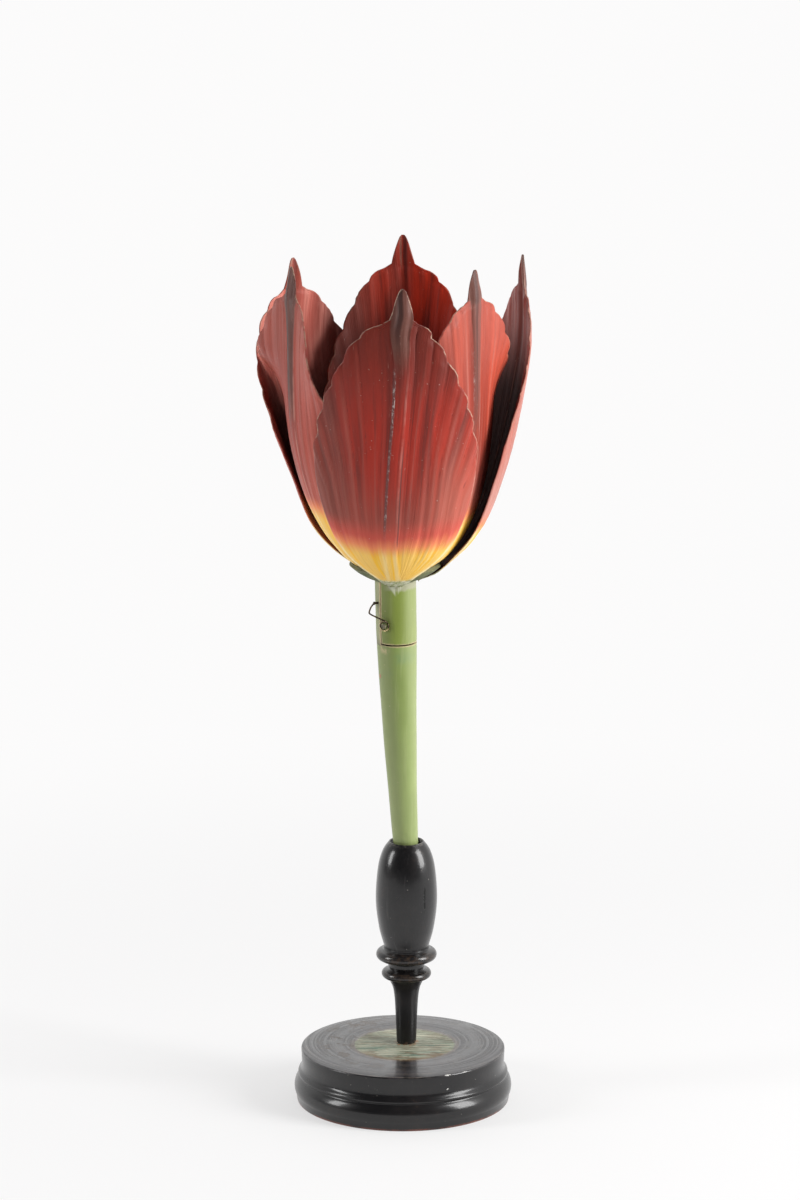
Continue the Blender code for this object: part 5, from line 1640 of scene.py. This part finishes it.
def petal_mesh(name, petal):
    rows, columns = PETAL_ROWS_BELOW + PETAL_ROWS_ABOVE, PETAL_COLUMNS + 1
    middle, share, fan, rib, rim = petal_grids(petal, columns)
    crease, vein, fine, panel, groove = petal_relief(petal, share, fan, rib, rim)
    normal = normals_of(middle)
    body = ease(0.10, 0.30, share) * ease(0.97, 0.90, share)
    to_edge = np.exp(-(rim / CREASE_REACH) ** 2) * ease(0.30, 0.60, share) * ease(0.95, 0.90, share)
    depth = sizes().groove_depth * (0.12 * body + 0.88 * to_edge)
    lift = sizes().panel_height * panel * body * ease(0.0, 0.006, rim) - depth * (1.0 - crease)
    middle = middle + normal * lift[..., None]
    normal = normals_of(middle)
    thin = sizes().rim_thickness
    thickness = thin + (PETAL_THICKNESS - thin) * ease(0.0, RIM_WIDTH, rim)
    thickness = thickness * (0.5 + 0.5 * ease(0.0, 0.05, share))
    detail = sizes().vein_height * (vein + 0.25 * fine) * ease(0.0, 0.002, rim)
    outside = middle + normal * (0.5 * thickness + detail - RIB_LINE_DEPTH * groove)[..., None]
    inside = middle - normal * (0.5 * thickness + 0.4 * detail)[..., None]

    path = border(rows, columns)
    edge_rows = np.array([row for row, _ in path])
    edge_columns = np.array([column for _, column in path])
    inner_rows = np.clip(edge_rows, 1, rows - 2)
    inner_columns = np.clip(edge_columns, 1, columns - 2)
    away = middle[edge_rows, edge_columns] - middle[inner_rows, inner_columns]
    away = away / np.maximum(np.linalg.norm(away, axis=1, keepdims=True), 1e-9)
    ring = middle[edge_rows, edge_columns] + away * RIM_ROUNDING

    count = rows * columns
    points = np.concatenate([outside.reshape(-1, 3), inside.reshape(-1, 3), ring])
    points = np.clip(points, np.array(CAD_BOX[0]), np.array(CAD_BOX[1]))
    index = np.arange(count).reshape(rows, columns)
    quads = np.stack([index[:-1, :-1], index[:-1, 1:], index[1:, 1:], index[1:, :-1]], axis=-1).reshape(-1, 4)
    start = edge_rows * columns + edge_columns
    after = np.roll(start, -1)
    loop = 2 * count + np.arange(len(path))
    loop_after = np.roll(loop, -1)
    outer_strip = np.stack([after, loop_after, loop, start], axis=-1)
    inner_strip = np.stack([loop, loop_after, after + count, start + count], axis=-1)
    faces = np.concatenate([quads, quads[:, ::-1] + count, outer_strip, inner_strip])
    mesh = bpy.data.meshes.new(name)
    mesh.from_pydata(points.tolist(), [], faces.tolist())

    def spread(value):
        """The value at each point of the outside, the inside and the edge between them."""
        grid = np.broadcast_to(value, (rows, columns))
        return np.concatenate([grid.reshape(-1), grid.reshape(-1), grid[edge_rows, edge_columns]])

    layers = {
        "rib": spread(rib),
        "rim": spread(rim * 1000.0),
        "crease": spread(crease),
        "vein": spread(vein),
        "inner": np.concatenate([np.zeros(count), np.ones(count), np.full(len(path), 0.3)]),
    }
    for layer, value in layers.items():
        mesh.attributes.new(layer, "FLOAT", "POINT").data.foreach_set("value", value.astype(np.float32))
    fans = spread(fan)
    vectors = np.column_stack([fans, spread(share), np.full(len(fans), petal.seed * 0.37)])
    layer = mesh.attributes.new("fan", "FLOAT_VECTOR", "POINT")
    layer.data.foreach_set("vector", vectors.astype(np.float32).reshape(-1))
    return mesh


class TULIP_OT_petals(bpy.types.Operator):
    """Add the six painted petals"""

    bl_idname = "tulip.petals"
    bl_label = "Petals"

    def execute(self, context):
        for name, petal in PETALS.items():
            mesh = petal_mesh(name, petal)
            work = bmesh.new()
            work.from_mesh(mesh)
            bpy.data.meshes.remove(mesh)
            add_piece(name, work, petal_paint(name), petal.body, [petal.node], PETAL_SMOOTH)
        return {"FINISHED"}


# Stamens and pistil


def stamen_rings(out, along, foot):
    """Rings of a filament and of the anther on it."""
    lean = math.tan(STAMEN_LEAN) * FILAMENT_LENGTH
    filament = []
    for share in np.linspace(0.0, 1.0, FILAMENT_LEVELS + 1).tolist():
        radius = FILAMENT_FOOT_RADIUS + (FILAMENT_TOP_RADIUS - FILAMENT_FOOT_RADIUS) * share
        centre = foot + out * (lean * share ** 1.5) + Vector((0, 0, FILAMENT_LENGTH * share))
        filament.append([centre + radius * facing(angle) for angle in angles_round(FILAMENT_SIDES)])
    start = foot + out * lean + Vector((0, 0, FILAMENT_LENGTH + GAP))
    anther = []
    for share, size in smooth_line(ANTHER_LEVELS, 5).tolist():
        centre = start + out * (ANTHER_LEAN * share) + Vector((0, 0, ANTHER_LENGTH * share))
        ring = []
        for angle in angles_round(ANTHER_SIDES):
            groove = 0.16 * math.cos(2 * angle) ** 2 + 0.10 * math.exp(-(math.cos(angle) / 0.16) ** 2)
            wide = ANTHER_RADIUS * size * (1.0 - groove - 0.015 * math.sin(60 * share + 5 * angle))
            ring.append(centre + wide * (along * math.cos(angle) + out * (ANTHER_FLATNESS * math.sin(angle))))
        anther.append(ring)
    return filament, anther


class TULIP_OT_stamens(bpy.types.Operator):
    """Add the six stamens"""

    bl_idname = "tulip.stamens"
    bl_label = "Stamens"

    def execute(self, context):
        tints = colours()
        cream = flower_paint("filament_cream", tints.cream, (0.50, 0.44, 0.16), 400.0, 60.0)
        dark = flower_paint("anther_dark", tints.anther, (0.10, 0.065, 0.06), 500.0, 300.0, 0.65)
        floor = STEM_TOP + GAP + dish_floor() + GAP
        azimuths = sorted(petal.azimuth for petal in PETALS.values())
        for number, (azimuth, body) in enumerate(zip(azimuths, STAMEN_BODIES), start=1):
            out = facing(math.radians(azimuth))
            along = facing(math.radians(azimuth + 90))
            foot = FLOWER + Vector((0, 0, floor)) + out * STAMEN_CIRCLE
            filament, anther = stamen_rings(out, along, foot)
            add_piece(f"stamen_stalk_{number}", skin_rings(filament), cream, body,
                      [f"filament_{number}"], SMALL_SMOOTH)
            add_piece(f"stamen_head_{number}", skin_rings(anther), dark, body,
                      [f"anther_{number}"], SMALL_SMOOTH)
        return {"FINISHED"}


def pistil_rings(radius, length, levels, hollow, foot, crinkle=0.0):
    """Rings of a three-sided body; the levels are (share of the length, share of the radius)."""
    rings = []
    for share, size in smooth_line(levels, 5).tolist():
        ring = []
        for angle in angles_round(PISTIL_SIDES):
            sided = 1.0 - hollow * (1.0 - math.cos(3 * (angle - PISTIL_FACING))) * 0.5
            sided += crinkle * math.sin(STIGMA_CRINKLES * angle + 3 * share) * size
            ring.append(FLOWER + Vector((0, 0, foot + length * share)) + radius * size * sided * facing(angle))
        rings.append(ring)
    return rings


class TULIP_OT_pistil(bpy.types.Operator):
    """Add the ovary and its stigma"""

    bl_idname = "tulip.pistil"
    bl_label = "Pistil"

    def execute(self, context):
        tints = colours()
        green = flower_paint("ovary_green", (0.30, 0.36, 0.12), (0.44, 0.46, 0.20), 260.0, 26.0)
        cream = flower_paint("stigma_cream", tints.cream, (0.58, 0.46, 0.14), 500.0, 500.0)
        floor = STEM_TOP + GAP + dish_floor() + GAP
        ovary = pistil_rings(OVARY_RADIUS, OVARY_LENGTH, OVARY_LEVELS, OVARY_HOLLOW, floor)
        add_piece("pistil_body", skin_rings(ovary), green, "flower_fixed", ["ovary"],
                  SMALL_SMOOTH)
        foot = floor + OVARY_LENGTH + GAP
        stigma = pistil_rings(
            STIGMA_RADIUS, STIGMA_HEIGHT, STIGMA_LEVELS, STIGMA_HOLLOW, foot, STIGMA_CRINKLE)
        add_piece("pistil_crest", skin_rings(stigma), cream, "flower_fixed", ["stigma"],
                  SMALL_SMOOTH)
        return {"FINISHED"}


# Stage


def add_softbox(name, softbox):
    direction = facing(math.radians(softbox.azimuth)) * math.cos(math.radians(softbox.elevation))
    direction.z = math.sin(math.radians(softbox.elevation))
    light = bpy.data.lights.new(name, "AREA")
    light.shape = "RECTANGLE"
    light.size = softbox.width
    light.size_y = softbox.height
    light.energy = softbox.power
    lamp = bpy.data.objects.new(name, light)
    lamp.location = Vector(SOFTBOX_AIM) + direction * softbox.distance
    lamp.rotation_euler = direction.to_track_quat("Z", "Y").to_euler()
    bpy.context.scene.collection.objects.link(lamp)


def seen_by(tree, *rays):
    """1 for the given kinds of rays."""
    seen = [add_node("ShaderNodeLightPath", output=ray, tree=tree) for ray in rays]
    total = seen[0]
    for one in seen[1:]:
        total = larger(total, one)
    return total


def mix_shaders(amount, first, second, output_node):
    """Shows the second shader where the amount is 1."""
    chosen = add_node("ShaderNodeMixShader", {0: amount, 1: first, 2: second})
    amount.tree.links.new(chosen.socket, output_node.inputs["Surface"])


def add_world():
    """A white sweep behind and at the right, and a dark room in front; the camera sees plain white."""
    world = bpy.data.worlds.new("studio")
    world.use_nodes = True
    tree = world.node_tree
    room = tree.nodes["Background"]
    across, back, _ = split(add_node("ShaderNodeTexCoord", output="Generated", tree=tree))
    behind = rise(back + larger(across, 0.0) * RIGHT_SIDE_SHARE, -0.12, 0.55)
    give(room, "Color", paint(ROOM_DARK, SWEEP_WHITE, behind))
    white = add_node("ShaderNodeBackground", {"Color": as_colour(PAPER_WHITE), "Strength": 1.0}, tree=tree)
    seen = seen_by(tree, "Is Camera Ray", "Is Transmission Ray")
    mix_shaders(seen, Field(tree, room.outputs[0]), white, tree.nodes["World Output"])
    bpy.context.scene.world = world


def pale_floor():
    """Pale paper; the camera and mirrors see it run out into plain white."""
    material, shader, where = new_material("pale_floor", specular=0.0, roughness=0.9)
    tree = where.tree
    give(shader, "Base Color", paint(colours().floor, FLOOR_CLOUD, noise(where, 3.0, 2.0, 0.5)))
    white = add_node("ShaderNodeEmission", {"Color": as_colour(PAPER_WHITE), "Strength": 1.0}, tree=tree)
    far = rise(distance(where, (0.0, 0.0, 0.0)), 0.20, 0.80)
    seen = seen_by(tree, "Is Camera Ray", "Is Glossy Ray", "Is Transmission Ray")
    amount = seen * (FLOOR_LIFT + far * (1.0 - FLOOR_LIFT))
    mix_shaders(amount, Field(tree, shader.outputs[0]), white, tree.nodes["Material Output"])
    return material


def add_floor():
    half = 0.5 * sizes().floor_size
    mesh_data = bmesh.new()
    corners = [mesh_data.verts.new((x * half, y * half, 0.0)) for x, y in ((-1, -1), (1, -1), (1, 1), (-1, 1))]
    mesh_data.faces.new(corners)
    mesh = bpy.data.meshes.new("floor")
    mesh_data.to_mesh(mesh)
    mesh_data.free()
    mesh.materials.append(pale_floor())
    floor = bpy.data.objects.new("floor", mesh)
    bpy.context.scene.collection.objects.link(floor)


def add_camera():
    data = bpy.data.cameras.new("camera")
    data.sensor_fit = "VERTICAL"
    data.sensor_height = CAMERA_SENSOR
    data.lens = CAMERA_LENS
    data.clip_end = CAMERA_REACH
    camera = bpy.data.objects.new("camera", data)
    camera.location = (CAMERA_X, -sizes().camera_distance, CAMERA_HEIGHT)
    camera.rotation_euler = (math.radians(90.0 - CAMERA_TILT), 0.0, 0.0)
    bpy.context.scene.collection.objects.link(camera)
    bpy.context.scene.camera = camera


class TULIP_OT_stage(bpy.types.Operator):
    """Add the pale floor, the soft light and the camera"""

    bl_idname = "tulip.stage"
    bl_label = "Stage"

    def execute(self, context):
        add_camera()
        add_world()
        add_floor()
        for name, softbox in SOFTBOXES.items():
            add_softbox(name, softbox)
        context.scene.view_settings.view_transform = "Standard"
        return {"FINISHED"}


OPERATORS = (
    TULIP_OT_stage, TULIP_OT_base, TULIP_OT_post, TULIP_OT_stem, TULIP_OT_wood, TULIP_OT_latch,
    TULIP_OT_petals, TULIP_OT_stamens, TULIP_OT_pistil,
)


class TULIP_PT_parts(bpy.types.Panel):
    """Lists the parts of the model"""

    bl_idname = "TULIP_PT_parts"
    bl_label = "Botanical tulip model"
    bl_space_type = "VIEW_3D"
    bl_region_type = "UI"
    bl_category = "Tulip"

    def draw(self, context):
        layout = self.layout
        for group in (context.scene.tulip_sizes, context.scene.tulip_colours):
            box = layout.box()
            for name in group.__annotations__:
                box.prop(group, name)
        for operator in OPERATORS:
            layout.operator(operator.bl_idname)


CLASSES = (TulipSizes, TulipColours, *OPERATORS, TULIP_PT_parts)


def register():
    for item in CLASSES:
        bpy.utils.register_class(item)
    bpy.types.Scene.tulip_sizes = PointerProperty(type=TulipSizes)
    bpy.types.Scene.tulip_colours = PointerProperty(type=TulipColours)


def unregister():
    del bpy.types.Scene.tulip_colours
    del bpy.types.Scene.tulip_sizes
    for item in reversed(CLASSES):
        bpy.utils.unregister_class(item)


def main():
    register()
    for operator in OPERATORS:
        getattr(bpy.ops.tulip, operator.bl_idname.split(".")[1])()
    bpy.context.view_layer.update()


if __name__ == "__main__":
    main()
